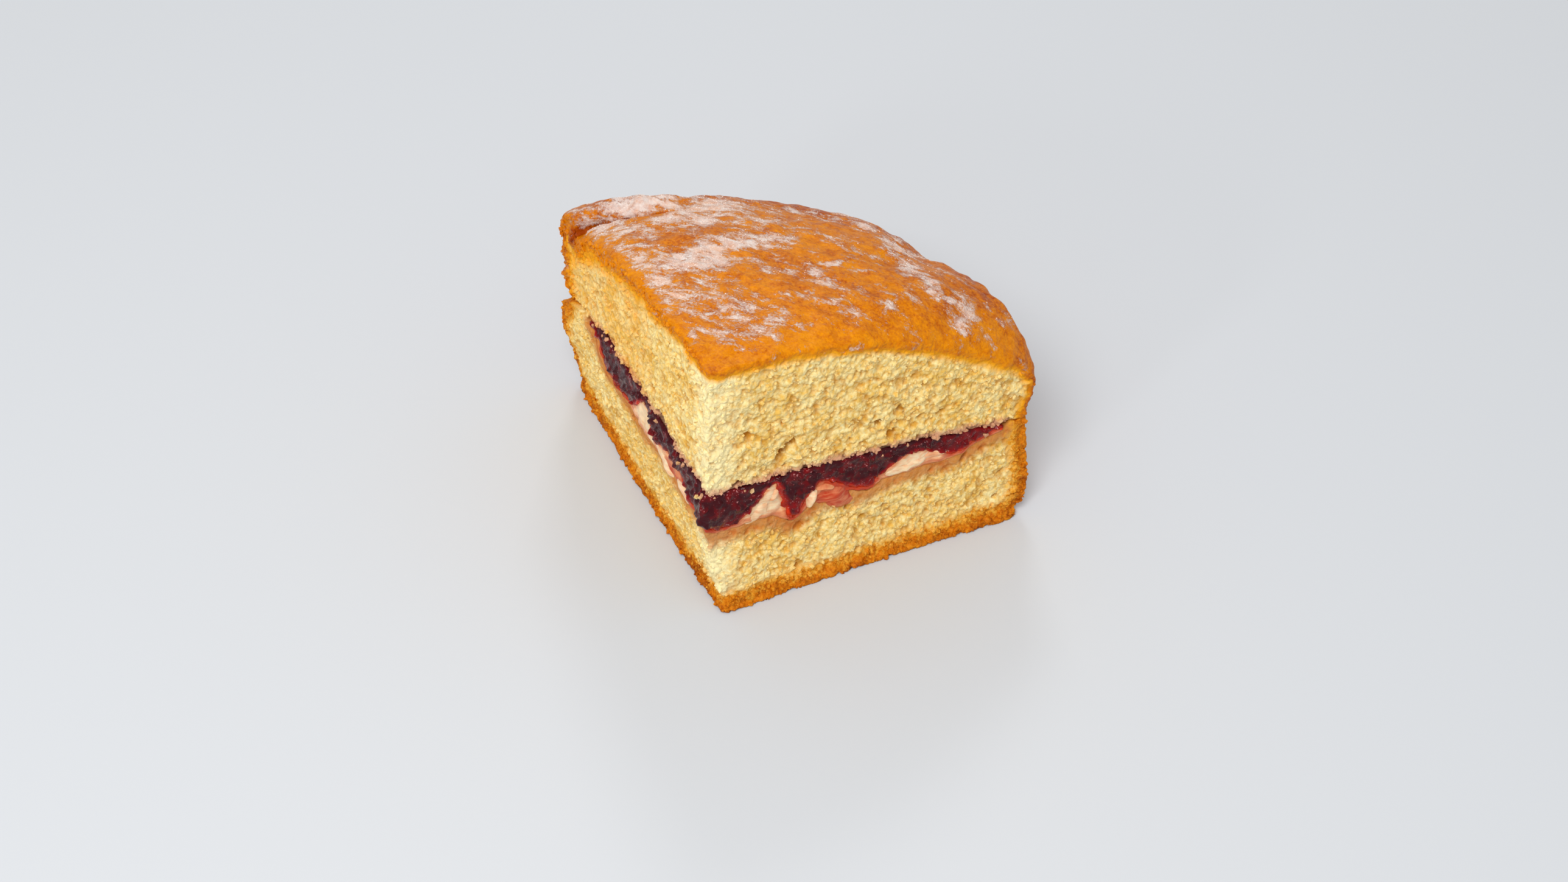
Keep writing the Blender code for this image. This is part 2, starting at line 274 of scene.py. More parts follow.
class GeometrySketch(Sketch):
    """A geometry node tree that a piece is passed through."""

    LUMP_KINDS = 6      # how many shapes of lump a scatter picks from

    def __init__(self, name: str) -> None:
        """Makes the tree with one geometry going in and one coming out."""
        super().__init__(bpy.data.node_groups.new(name, "GeometryNodeTree"))
        for way in ("INPUT", "OUTPUT"):
            self.tree.interface.new_socket("Geometry", in_out=way,
                                           socket_type="NodeSocketGeometry")
        self.mesh = self.tree.nodes.new("NodeGroupInput").outputs[0]
        self.place = self.in_millimetres(self.node("GeometryNodeInputPosition", {}).outputs[0])
        self.normal = self.node("GeometryNodeInputNormal", {}).outputs[0]

    def mark(self, mark: Mark) -> bpy.types.NodeSocket:
        """Reads what is stored at each vertex."""
        return self.node("GeometryNodeInputNamedAttribute", {"Name": mark.value},
                         data_type="FLOAT").outputs[0]

    def on_side(self, right: float, left: float) -> bpy.types.NodeSocket:
        """One number on the right half of the slice and another one on the left half."""
        on_left = self.ease(self.part_of(self.place, 0), -3.0, 1.0, 1.0, 0.0)
        return self.ramp(on_left, 0.0, 1.0, right, left)

    def store(self, mark: Mark, value: Value) -> None:
        """Stores a number at each vertex."""
        self.mesh = self.node("GeometryNodeStoreNamedAttribute",
                              {"Geometry": self.mesh, "Name": mark.value, "Value": value},
                              data_type="FLOAT", domain="POINT").outputs[0]

    def shift(self, direction: Value, distance: Value) -> None:
        """Moves every vertex by a distance in millimetres along a direction."""
        offset = self.scaled(direction, self.times(distance, MM))
        self.mesh = self.node("GeometryNodeSetPosition",
                              {"Geometry": self.mesh, "Offset": offset}).outputs[0]

    def push(self, height: Value) -> None:
        """Moves every vertex along its normal."""
        self.shift(self.normal, height)

    def wander(self) -> None:
        """Moves neighbouring pieces sideways together, less and less towards the base."""
        free = self.ease(self.part_of(self.place, 2), 0.0, 7.0)
        self.shift(self.vector("ADD", self.drift(self.place, 10.0, 1.1),
                               self.drift(self.place, 3.2, 0.55)), free)

    def random(self, low: float, high: float, seed: int) -> bpy.types.NodeSocket:
        """A random number for each point."""
        return self.node("FunctionNodeRandomValue", {2: low, 3: high, "Seed": seed},
                         data_type="FLOAT").outputs[1]

    def random_vector(self, low: float, high: float, seed: int) -> bpy.types.NodeSocket:
        """Three random numbers for each point."""
        return self.node("FunctionNodeRandomValue", {0: (low,) * 3, 1: (high,) * 3, "Seed": seed},
                         data_type="FLOAT_VECTOR").outputs[0]

    def scatter(self, per_square_mm: float, share: Value, sizes: Pair, squash: float,
                seed: int) -> None:
        """Replaces the mesh by small lumps that are scattered over it.

        Args:
            per_square_mm: how many lumps where share is 1.
            share: how densely to scatter, from 0 to 1.
            sizes: the smallest and the largest diameter, in millimetres.
            squash: how flat the flattest lumps are, as a share of their width.
            seed: which random scatter.
        """
        density = self.times(share, per_square_mm / MM ** 2)
        points = self.node("GeometryNodeDistributePointsOnFaces",
                           {"Mesh": self.mesh, "Density": density, "Seed": seed})
        shapes = self.node("GeometryNodeGeometryToInstance", {})
        for kind in range(self.LUMP_KINDS):
            self.put(shapes.inputs[0], self.odd_lump(seed + 10 * kind))
        smallest, largest = sizes
        few_large = self.math("POWER", self.random(0.0, 1.0, seed + 3), 2.5)
        size = self.plus(smallest, self.times(largest - smallest, few_large))
        lumps = self.node("GeometryNodeInstanceOnPoints",
                          {"Points": points.outputs["Points"], "Instance": shapes.outputs[0],
                           "Pick Instance": True,
                           "Rotation": self.random_vector(-math.pi, math.pi, seed + 1),
                           "Scale": self.scaled(self.random_vector(squash, 1.0, seed + 2),
                                                size)}).outputs[0]
        self.mesh = self.node("GeometryNodeRealizeInstances", {"Geometry": lumps}).outputs[0]

    def odd_lump(self, seed: int) -> bpy.types.NodeSocket:
        """A small angular lump of 20 faces, one unit across."""
        ball = self.node("GeometryNodeMeshIcoSphere", {"Radius": 0.5 * MM, "Subdivisions": 1})
        place = self.node("GeometryNodeInputPosition", {}).outputs[0]
        moved = self.scaled(place, self.random(0.55, 1.30, seed))
        return self.node("GeometryNodeSetPosition", {"Geometry": ball.outputs[0],
                                                     "Position": moved}).outputs[0]

    def apply_to(self, piece: bpy.types.Object) -> None:
        """Finishes the tree and applies it to a piece."""
        self.node("NodeGroupOutput", {0: self.mesh})
        modifier = piece.modifiers.new(self.tree.name, "NODES")
        modifier.node_group = self.tree
        apply_modifier(piece, modifier)


class GroupSketch(Sketch):
    """A shader node group with named inputs and outputs."""

    def __init__(self, name: str, inputs: dict[str, str], outputs: dict[str, str]) -> None:
        """Makes the group.

        Args:
            name: the group's name.
            inputs: the socket type of each input.
            outputs: the socket type of each output.
        """
        super().__init__(bpy.data.node_groups.new(name, "ShaderNodeTree"))
        for way, sockets in (("INPUT", inputs), ("OUTPUT", outputs)):
            for label, kind in sockets.items():
                self.tree.interface.new_socket(label, in_out=way, socket_type=kind)
        self.given = self.tree.nodes.new("NodeGroupInput").outputs
        self.result = self.tree.nodes.new("NodeGroupOutput").inputs
        self.place = self.object_place()


class MaterialSketch(Sketch):
    """A material with one Principled shader."""

    def __init__(self, name: str, **sockets: Value) -> None:
        """Makes the material and sets plain values on its shader."""
        self.material = bpy.data.materials.new(name)
        self.material.use_nodes = True
        super().__init__(self.material.node_tree)
        self.shader = self.tree.nodes["Principled BSDF"]
        self.place = self.object_place()
        self.feed(**sockets)

    def feed(self, **sockets: Value) -> None:
        """Sets or links the shader's sockets, named with _ for each blank."""
        for name, value in sockets.items():
            self.put(self.shader.inputs[name.replace("_", " ")], value)

    def mark(self, mark: Mark) -> bpy.types.NodeSocket:
        """Reads what is stored at each vertex."""
        return self.node("ShaderNodeAttribute", {}, attribute_name=mark.value).outputs["Fac"]

    def group(self, tree: bpy.types.NodeTree, inputs: dict) -> bpy.types.bpy_prop_collection:
        """Places a shader node group and gives what it puts out."""
        return self.node("ShaderNodeGroup", inputs, node_tree=tree).outputs

    def bump(self, height: Value, strength: float = 1.0) -> None:
        """Feeds the shader's normal from a height in millimetres."""
        node = self.node("ShaderNodeBump", {"Height": height, "Strength": strength,
                                            "Distance": MM})
        self.feed(Normal=node.outputs[0])


# ------------------------------------------------------------------ mesh helpers

def select_only(piece: bpy.types.Object) -> None:
    """Leaves one object selected and active."""
    bpy.ops.object.select_all(action="DESELECT")
    piece.select_set(True)
    bpy.context.view_layer.objects.active = piece


def apply_modifier(piece: bpy.types.Object, modifier: bpy.types.Modifier) -> None:
    """Applies a modifier to a piece."""
    select_only(piece)
    bpy.ops.object.modifier_apply(modifier=modifier.name)


def copy_mesh(source: bpy.types.Object, name: str) -> bpy.types.Object:
    """A new object with its own copy of another one's mesh, and no material."""
    piece = bpy.data.objects.new(name, source.data.copy())
    piece.data.name = name
    piece.data.materials.clear()
    bpy.context.scene.collection.objects.link(piece)
    return piece


def smooth_copy(node: str, name: str, levels: int, crease_degrees: float) -> bpy.types.Object:
    """A finer and rounder copy of a solid, whose sharp edges stay where they are.

    Args:
        node: the solid's name.
        name: the new piece's name.
        levels: how many times each face is divided.
        crease_degrees: the angle from which an edge counts as sharp.

    Returns:
        The new piece.
    """
    piece = copy_mesh(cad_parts[node], name)
    select_only(piece)
    bpy.ops.object.mode_set(mode="EDIT")
    bpy.ops.mesh.select_all(action="SELECT")
    bpy.ops.mesh.remove_doubles(threshold=0.01 * MM)
    bpy.ops.mesh.tris_convert_to_quads(face_threshold=math.radians(60.0),
                                       shape_threshold=math.radians(60.0))
    bpy.ops.mesh.select_all(action="DESELECT")
    bpy.ops.mesh.select_mode(type="EDGE")
    bpy.ops.mesh.edges_select_sharp(sharpness=math.radians(crease_degrees))
    bpy.ops.transform.edge_crease(value=1.0)
    bpy.ops.object.mode_set(mode="OBJECT")
    modifier = piece.modifiers.new("rounding", "SUBSURF")
    modifier.levels = modifier.render_levels = levels
    apply_modifier(piece, modifier)
    return piece


def vertex_rows(piece: bpy.types.Object) -> tuple[np.ndarray, np.ndarray]:
    """Every vertex's place in millimetres, and its normal."""
    count = len(piece.data.vertices)
    places = np.empty(count * 3)
    piece.data.vertices.foreach_get("co", places)
    normals = np.empty(count * 3, dtype=np.float32)
    piece.data.vertex_normals.foreach_get("vector", normals)
    return places.reshape(-1, 3) / MM, normals.reshape(-1, 3).astype(float)


def set_mark(piece: bpy.types.Object, mark: Mark, values: np.ndarray) -> None:
    """Stores one number for each vertex of a piece."""
    layer = piece.data.attributes.get(mark.value)
    if layer is None:
        layer = piece.data.attributes.new(mark.value, "FLOAT", "POINT")
    layer.data.foreach_set("value", values.astype(np.float32))


def move_to(piece: bpy.types.Object, places: np.ndarray) -> None:
    """Moves every vertex to its new place, given in millimetres."""
    piece.data.vertices.foreach_set("co", (places * MM).ravel())
    piece.data.update()


def keep_above_table(piece: bpy.types.Object) -> None:
    """Lifts whatever reaches below the table up to it."""
    places, _ = vertex_rows(piece)
    places[:, 2] = np.maximum(places[:, 2], 0.0)
    move_to(piece, places)


def distances(node: str, keep: Callable, places: np.ndarray, reach: float) -> np.ndarray:
    """How far each place is from some faces of a solid.

    Args:
        node: the solid's name.
        keep: says from a face's middle and normal whether the face counts.
        places: where to measure from, in millimetres.
        reach: the distance that stands for anything further away.

    Returns:
        The distances in millimetres.
    """
    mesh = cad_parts[node].data
    faces = [tuple(face.vertices) for face in mesh.polygons
             if keep(face.center / MM, face.normal)]
    tree = BVHTree.FromPolygons([vertex.co for vertex in mesh.vertices], faces)
    found = (tree.find_nearest(place, reach * MM)[3] for place in places * MM)
    return np.array([reach if distance is None else distance / MM for distance in found])


def every_face(middle: Vector, normal: Vector) -> bool:
    """Counts every face of a solid."""
    return True


def gap_to(places: np.ndarray, reach: float, *nodes: str) -> np.ndarray:
    """How far each place is from the nearest of some whole solids."""
    return np.minimum.reduce([distances(node, every_face, places, reach) for node in nodes])


def thin_out(piece: bpy.types.Object, weights: np.ndarray) -> None:
    """Brings a piece under the triangle limit by merging faces where the weights are high."""
    triangles = sum(len(face.vertices) - 2 for face in piece.data.polygons)
    if triangles <= TRIANGLE_LIMIT:
        return
    group = piece.vertex_groups.new(name="thin_out")
    for weight in np.unique(weights):
        group.add(np.flatnonzero(weights == weight).tolist(), float(weight), "REPLACE")
    modifier = piece.modifiers.new("thin_out", "DECIMATE")
    modifier.ratio = TRIANGLE_LIMIT / triangles
    modifier.vertex_group = group.name
    apply_modifier(piece, modifier)
    piece.vertex_groups.clear()


def dress(piece: bpy.types.Object, material: bpy.types.Material, smooth: bool = True) -> None:
    """Gives a piece its one material, and smooth or faceted shading."""
    piece.data.materials.clear()
    piece.data.materials.append(material)
    select_only(piece)
    if smooth:
        bpy.ops.object.shade_smooth()
    else:
        bpy.ops.object.shade_flat()


def hand_over(piece: bpy.types.Object, slot: str, *nodes: str) -> None:
    """Attaches a finished piece to the body, hides the solids it replaces and reports it."""
    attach(piece, BODY)
    if nodes:
        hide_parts(*nodes)
    LOG.info("%s: %d faces", piece.name, len(piece.data.polygons))


# ------------------------------------------------------------------ the slice

@dataclass(frozen=True)
class Slice:
    """Where things are in the slice: distance from the tip, and degrees from the middle line."""

    tip: tuple[float, float]
    radius: float
    height: float

    @classmethod
    def from_frame(cls) -> "Slice":
        """Reads the slice's tip and size from the top sponge's box."""
        low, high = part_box("top_sponge")
        return cls(tip=(0.0, low[1] / MM), radius=(high[1] - low[1]) / MM, height=high[2] / MM)

    def polar(self, places: np.ndarray) -> tuple[np.ndarray, np.ndarray]:
        """The radius in millimetres and the turn in degrees of every place."""
        across = places[:, 0] - self.tip[0]
        along = places[:, 1] - self.tip[1]
        return np.hypot(across, along), np.degrees(np.arctan2(across, along))

    def outward(self, places: np.ndarray, radius: np.ndarray) -> np.ndarray:
        """The level direction away from the tip, for places at some radius."""
        return (places[:, :2] - np.array(self.tip)) / np.maximum(radius, 1.0)[:, None]

    def cut_share(self, normals: np.ndarray) -> np.ndarray:
        """1 where a surface faces the way a cut face does, else 0."""
        facing = np.maximum(normals @ Cut.LEFT.outward, normals @ Cut.RIGHT.outward)
        return ease(0.60, 0.86, facing)


SLICE = Slice.from_frame()


# ------------------------------------------------------------------ shared effects

class Effects:
    """The shader node groups that more than one material uses."""

    def __init__(self) -> None:
        """Builds each group once."""
        self.crumb = self.crumb_group()
        self.crust = self.crust_group()
        self.dust = self.dust_group()

    @staticmethod
    def crumb_group() -> bpy.types.NodeTree:
        """Open sponge crumb: pale lumps round darker crevices, whose darkness is painted shade,
        paler again where a highlight is painted, with fine grain as height.
        """
        sketch = GroupSketch(
            "open_crumb",
            {"High": COLOUR, "Middle": COLOUR, "Pit Shade": COLOUR, "Tip Highlight": COLOUR,
             "Pit": NUMBER, "Highlight Share": NUMBER},
            {"Colour": COLOUR, "Height": NUMBER})
        cloud = sketch.noise(sketch.place, 9.0, detail=2.0)
        clump = sketch.noise(sketch.place, 1.3, detail=3.0, roughness=0.6)
        grain, kind = sketch.lumps(sketch.place, 0.9)
        fine = sketch.noise(sketch.place, 0.3, detail=2.0, roughness=0.6)
        light = sketch.plus(sketch.times(clump, 1.5), sketch.times(cloud, 0.8),
                            sketch.times(kind, 0.25), sketch.given["Highlight Share"], -0.80)
        # painted shade: darker in the pits and between the lumps
        dark = sketch.plus(sketch.given["Pit"],
                           sketch.times(sketch.math("SUBTRACT", 1.0, grain), 0.14),
                           sketch.times(clump, -0.45), 0.10,
                           sketch.times(sketch.given["Highlight Share"], -0.3))
        lumps = sketch.blend(sketch.ramp(light, 0.20, 0.80), sketch.given["Middle"],
                             sketch.given["High"])
        crumb = sketch.blend(sketch.ramp(dark, 0.10, 1.0), lumps, sketch.given["Pit Shade"])
        # painted highlight: the crumb turns paler towards the tip colour
        sketch.put(sketch.result["Colour"],
                   sketch.blend(sketch.times(sketch.given["Highlight Share"], 0.5), crumb,
                                sketch.given["Tip Highlight"]))
        sketch.put(sketch.result["Height"],
                   sketch.plus(sketch.times(clump, 0.20), sketch.times(grain, 0.10),
                               sketch.times(fine, 0.03)))
        return sketch.tree

    @staticmethod
    def crust_group() -> bpy.types.NodeTree:
        """Baked crust: mottled tones, fine freckles and a finely wrinkled skin."""
        sketch = GroupSketch(
            "baked_crust",
            {"Light": COLOUR, "Middle": COLOUR, "Dark": COLOUR, "Shade": NUMBER},
            {"Colour": COLOUR, "Height": NUMBER})
        broad = sketch.noise(sketch.place, 15.0, detail=3.0, roughness=0.55)
        patch = sketch.noise(sketch.place, 3.0, detail=4.0, roughness=0.62, twist=0.8)
        freckle = sketch.noise(sketch.place, 0.7, detail=3.0, roughness=0.7)
        tone = sketch.plus(sketch.times(broad, 0.7), sketch.times(patch, 1.2),
                           sketch.times(freckle, 1.2), sketch.given["Shade"], -1.53)
        lighter = sketch.blend(sketch.ramp(tone, 0.40, 0.90), sketch.given["Middle"],
                               sketch.given["Light"])
        sketch.put(sketch.result["Colour"],
                   sketch.blend(sketch.ramp(tone, 0.05, 0.45, 1.0, 0.0), lighter,
                                sketch.given["Dark"]))
        wrinkle = sketch.noise(sketch.stretched(sketch.place, (0.6, 1.0, 1.6)), 1.7, detail=4.0,
                               roughness=0.6, twist=1.0)
        pore = sketch.noise(sketch.place, 0.45, detail=2.0, roughness=0.6)
        sketch.put(sketch.result["Height"],
                   sketch.plus(sketch.times(wrinkle, 0.34), sketch.times(pore, 0.11)))
        return sketch.tree

    @staticmethod
    def dust_group() -> bpy.types.NodeTree:
        """Dusted sugar: turns how much was dusted into feathery streaks and fine specks."""
        sketch = GroupSketch("dusted_sugar", {"Amount": NUMBER},
                             {"Film": NUMBER, "Height": NUMBER})
        speck = sketch.noise(sketch.place, 0.55, detail=4.0, roughness=0.75)
        amount = sketch.plus(streaky(sketch, sketch.given["Amount"]),
                             sketch.times(speck, 1.7), -0.87)
        film = sketch.ramp(amount, 0.0, 0.45)
        sketch.put(sketch.result["Film"], film)
        sketch.put(sketch.result["Height"], sketch.times(film, 0.14))
        return sketch.tree


def streaky(sketch: Sketch, amount: Value) -> bpy.types.NodeSocket:
    """Breaks an amount of dusting up into streaks that run across the slice."""
    along = sketch.stretched(sketch.place, (0.55, 1.15, 1.0))
    streak = sketch.noise(along, 2.9, detail=5.0, roughness=0.66, twist=0.4)
    blotch = sketch.noise(sketch.place, 7.0, detail=2.0, roughness=0.5, twist=0.4)
    return sketch.plus(amount, sketch.times(streak, 3.0), sketch.times(blotch, 1.5), -2.62)


EFFECTS = Effects()


# ------------------------------------------------------------------ finishes

@dataclass(frozen=True)
class SpongeFinish:
    """Sponge with its crumb, its browned skin, its soaked edge and any sugar on top."""

    name: str
    crumb_high: Colour = srgb(248, 230, 168)
    crumb_middle: Colour = srgb(234, 188, 92)
    # painted shade in the crumb's pits and between its lumps
    crumb_pit_shade: Colour = srgb(200, 136, 38)
    # painted highlight along the tip edge of the cut crumb
    crumb_tip_highlight: Colour = srgb(252, 236, 204)
    crust_light: Colour = srgb(228, 140, 0)
    crust_middle: Colour = srgb(200, 108, 0)
    crust_dark: Colour = srgb(158, 64, 0)
    under_crust: Colour = srgb(238, 164, 28)
    soaked: Colour = srgb(196, 118, 54)
    # darker soaked colour in the pits: partly jam gathered in the hollows, partly painted shade
    soaked_low: Colour = srgb(196, 104, 44)
    sugar: Colour = srgb(226, 212, 204)
    crumb_roughness: float = 0.92
    gloss_roughness: float = 0.55
    ragged: float = 0.9           # how uneven the line between crust and crumb is
    sugared: bool = False

    def material(self) -> bpy.types.Material:
        """Builds the material."""
        sketch = MaterialSketch(self.name, Metallic=0.0, Specular_IOR_Level=0.10)
        # painted shade comes in through the pits, and the tip's painted highlight through the
        # hollow mark
        inside = {"High": self.crumb_high, "Middle": self.crumb_middle, "Pit Shade": self.crumb_pit_shade,
                  "Tip Highlight": self.crumb_tip_highlight, "Pit": sketch.mark(Mark.PIT),
                  "Highlight Share": sketch.ramp(sketch.mark(Mark.HOLLOW), -0.8, 0.0, 1.0, 0.0)}
        crumb = sketch.group(EFFECTS.crumb, inside)
        skin = {"Light": self.crust_light, "Middle": self.crust_middle, "Dark": self.crust_dark,
                "Shade": sketch.mark(Mark.SHADE)}
        crust = sketch.group(EFFECTS.crust, skin)
        ragged = sketch.swing(sketch.place, 1.3, detail=3.0, roughness=0.65)
        broad = sketch.swing(sketch.place, 6.0, detail=1.0)
        uneven = sketch.plus(sketch.times(ragged, self.ragged), sketch.times(broad, 0.5))
        baked = sketch.plus(sketch.mark(Mark.CRUST), sketch.times(
            uneven, sketch.ramp(sketch.mark(Mark.CRUST), 0.0, 0.25)))
        spread = sketch.noise(sketch.place, 2.4, detail=4.0, roughness=0.7)
        stain = sketch.plus(sketch.mark(Mark.STAIN), sketch.times(
            sketch.plus(spread, -0.50), sketch.ramp(sketch.mark(Mark.STAIN), 0.0, 0.2)))
        # in the pits the soaked crumb darkens: partly jam in the hollows, partly painted shade
        wet = sketch.blend(sketch.ramp(sketch.mark(Mark.PIT), 0.25, 0.75), self.soaked,
                           self.soaked_low)
        colour = sketch.blend(sketch.ramp(stain, 0.05, 0.60, 0.0, 0.85), crumb["Colour"], wet)
        colour = sketch.blend(sketch.ramp(baked, 0.05, 0.48), colour, self.under_crust)
        covered = sketch.ramp(baked, 0.44, 0.72)
        colour = sketch.blend(covered, colour, crust["Colour"])
        crumb_height = sketch.times(crumb["Height"], sketch.ramp(baked, 0.2, 0.8, 1.0, 0.35))
        height = sketch.plus(crumb_height, sketch.times(crust["Height"], covered))
        rough: Value = sketch.ramp(covered, 0.0, 1.0, self.crumb_roughness,
                                   self.gloss_roughness)
        if self.sugared:
            dust = sketch.group(EFFECTS.dust, {"Amount": sketch.mark(Mark.SUGAR)})
            film = sketch.times(dust["Film"], covered)
            thick = sketch.ramp(spread, 0.35, 0.65, 0.45, 1.0)
            colour = sketch.blend(sketch.times(film, thick), colour, self.sugar)
            height = sketch.plus(height, sketch.times(dust["Height"], covered))
            rough = sketch.plus(rough, sketch.times(film, 0.3))
        sketch.feed(Base_Color=colour, Roughness=rough)
        sketch.bump(height, 0.9)
        return sketch.material


@dataclass(frozen=True)
class TopSpongeFinish(SpongeFinish):
    """The upper sponge: a glossier crust with sugar, soaked dark along the jam."""

    name: str = "top_sponge_finish"
    soaked: Colour = srgb(200, 142, 116)
    soaked_low: Colour = srgb(92, 30, 30)
    gloss_roughness: float = 0.32
    ragged: float = 0.40
    sugared: bool = True


@dataclass(frozen=True)
class BottomSpongeFinish(SpongeFinish):
    """The lower sponge: a duller crust that is ragged against the crumb."""

    name: str = "bottom_sponge_finish"
    crust_light: Colour = srgb(230, 152, 30)
    crust_middle: Colour = srgb(204, 114, 8)
    crust_dark: Colour = srgb(146, 66, 0)
    under_crust: Colour = srgb(230, 160, 48)
    ragged: float = 1.5


@dataclass(frozen=True)
class CreamFinish:
    """Soft whipped cream, coloured by the jam where they were folded together."""

    name: str = "soft_cream"
    pale: Colour = srgb(252, 232, 194)
    shadow: Colour = srgb(240, 202, 154)
    veil: Colour = srgb(228, 142, 88)
    blush: Colour = srgb(186, 50, 12)

    def material(self) -> bpy.types.Material:
        """Builds the material."""
        sketch = MaterialSketch(self.name, Metallic=0.0, Roughness=0.36, Specular_IOR_Level=0.25,
                                Subsurface_Weight=0.15, Subsurface_Radius=(1.0, 0.5, 0.3),
                                Subsurface_Scale=0.0015)
        cloud = sketch.noise(sketch.place, 4.0, detail=3.0)
        streak = sketch.noise(sketch.stretched(sketch.place, (0.6, 0.6, 2.0)), 2.6, detail=4.0,
                              roughness=0.6, twist=1.2)
        blush = sketch.plus(sketch.mark(Mark.BLUSH), sketch.times(streak, 1.1), -0.55)
        colour = sketch.blend(sketch.ramp(cloud, 0.3, 0.7), self.shadow, self.pale)
        colour = sketch.blend(sketch.ramp(blush, 0.0, 0.45, 0.0, 0.85), colour, self.veil)
        colour = sketch.blend(sketch.ramp(blush, 0.40, 0.95, 0.0, 0.95), colour, self.blush)
        sketch.feed(Base_Color=colour)
        fine = sketch.noise(sketch.place, 0.7, detail=2.0, roughness=0.5)
        sketch.bump(sketch.plus(sketch.times(streak, 0.08), sketch.times(fine, 0.05)), 0.8)
        return sketch.material


@dataclass(frozen=True)
class JamFinish:
    """Wet dark berry jam, redder where it is thin, with glints painted into its colour."""

    name: str = "wet_jam"
    deep: Colour = srgb(62, 8, 16)
    red: Colour = srgb(140, 8, 10)
    bright: Colour = srgb(222, 58, 10)
    glint: Colour = srgb(206, 140, 138)

    def material(self) -> bpy.types.Material:
        """Builds the material."""
        sketch = MaterialSketch(self.name, Metallic=0.0, Specular_IOR_Level=0.10,
                                Coat_Roughness=0.04, Coat_IOR=1.4)
        lump = sketch.noise(sketch.place, 2.6, detail=1.0, roughness=0.5)
        fine = sketch.noise(sketch.place, 1.0, detail=1.0, roughness=0.5)
        tone = sketch.plus(sketch.times(lump, 0.8), sketch.times(fine, 0.25),
                           sketch.mark(Mark.SHADE), -0.50)
        colour = sketch.blend(sketch.ramp(tone, 0.05, 0.50), self.deep, self.red)
        colour = sketch.blend(sketch.ramp(tone, 0.50, 1.0), colour, self.bright)
        # painted highlights: small pale glints mixed into the base colour
        sparkle = sketch.plus(sketch.noise(sketch.place, 0.55, detail=2.0, roughness=0.6),
                              sketch.times(lump, 0.3))
        colour = sketch.blend(sketch.ramp(sparkle, 0.80, 0.90, 0.0, 0.75), colour, self.glint)
        sketch.feed(Base_Color=colour, Coat_Weight=sketch.ramp(fine, 0.3, 0.7, 0.30, 0.05),
                    Roughness=sketch.ramp(fine, 0.3, 0.7, 0.12, 0.30))
        sketch.bump(sketch.plus(sketch.times(lump, 0.5), sketch.times(fine, 0.22)), 1.0)
        return sketch.material


@dataclass(frozen=True)
class SugarFinish:
    """Loose grains of white sugar."""

    name: str = "white_sugar"
    bright: Colour = srgb(255, 240, 230)
    dull: Colour = srgb(240, 204, 182)

    def material(self) -> bpy.types.Material:
        """Builds the material."""
        sketch = MaterialSketch(self.name, Metallic=0.0, Roughness=0.6, Specular_IOR_Level=0.3)
        tone = sketch.noise(sketch.place, 0.9, detail=2.0)
        sketch.feed(Base_Color=sketch.blend(sketch.ramp(tone, 0.35, 0.65), self.dull,
                                            self.bright))
        return sketch.material


@dataclass(frozen=True)
class FloorFinish:
    """A plain pale floor."""

    name: str = "pale_floor"
    tone: Colour = srgb(205, 208, 212)

    def material(self) -> bpy.types.Material:
        """Builds the material."""
        return MaterialSketch(self.name, Base_Color=self.tone, Roughness=0.6,
                              Specular_IOR_Level=0.2).material


# ------------------------------------------------------------------ sponge layers

@dataclass(frozen=True)
class Hollow:
    """A large hole that the knife opened in a cut face."""

    cut: Cut
    radius: float        # from the tip
    height: float        # above the table
    length: float        # half its length
    width: float         # half its width
    tilt: float          # degrees that its length rises outwards
    depth: float


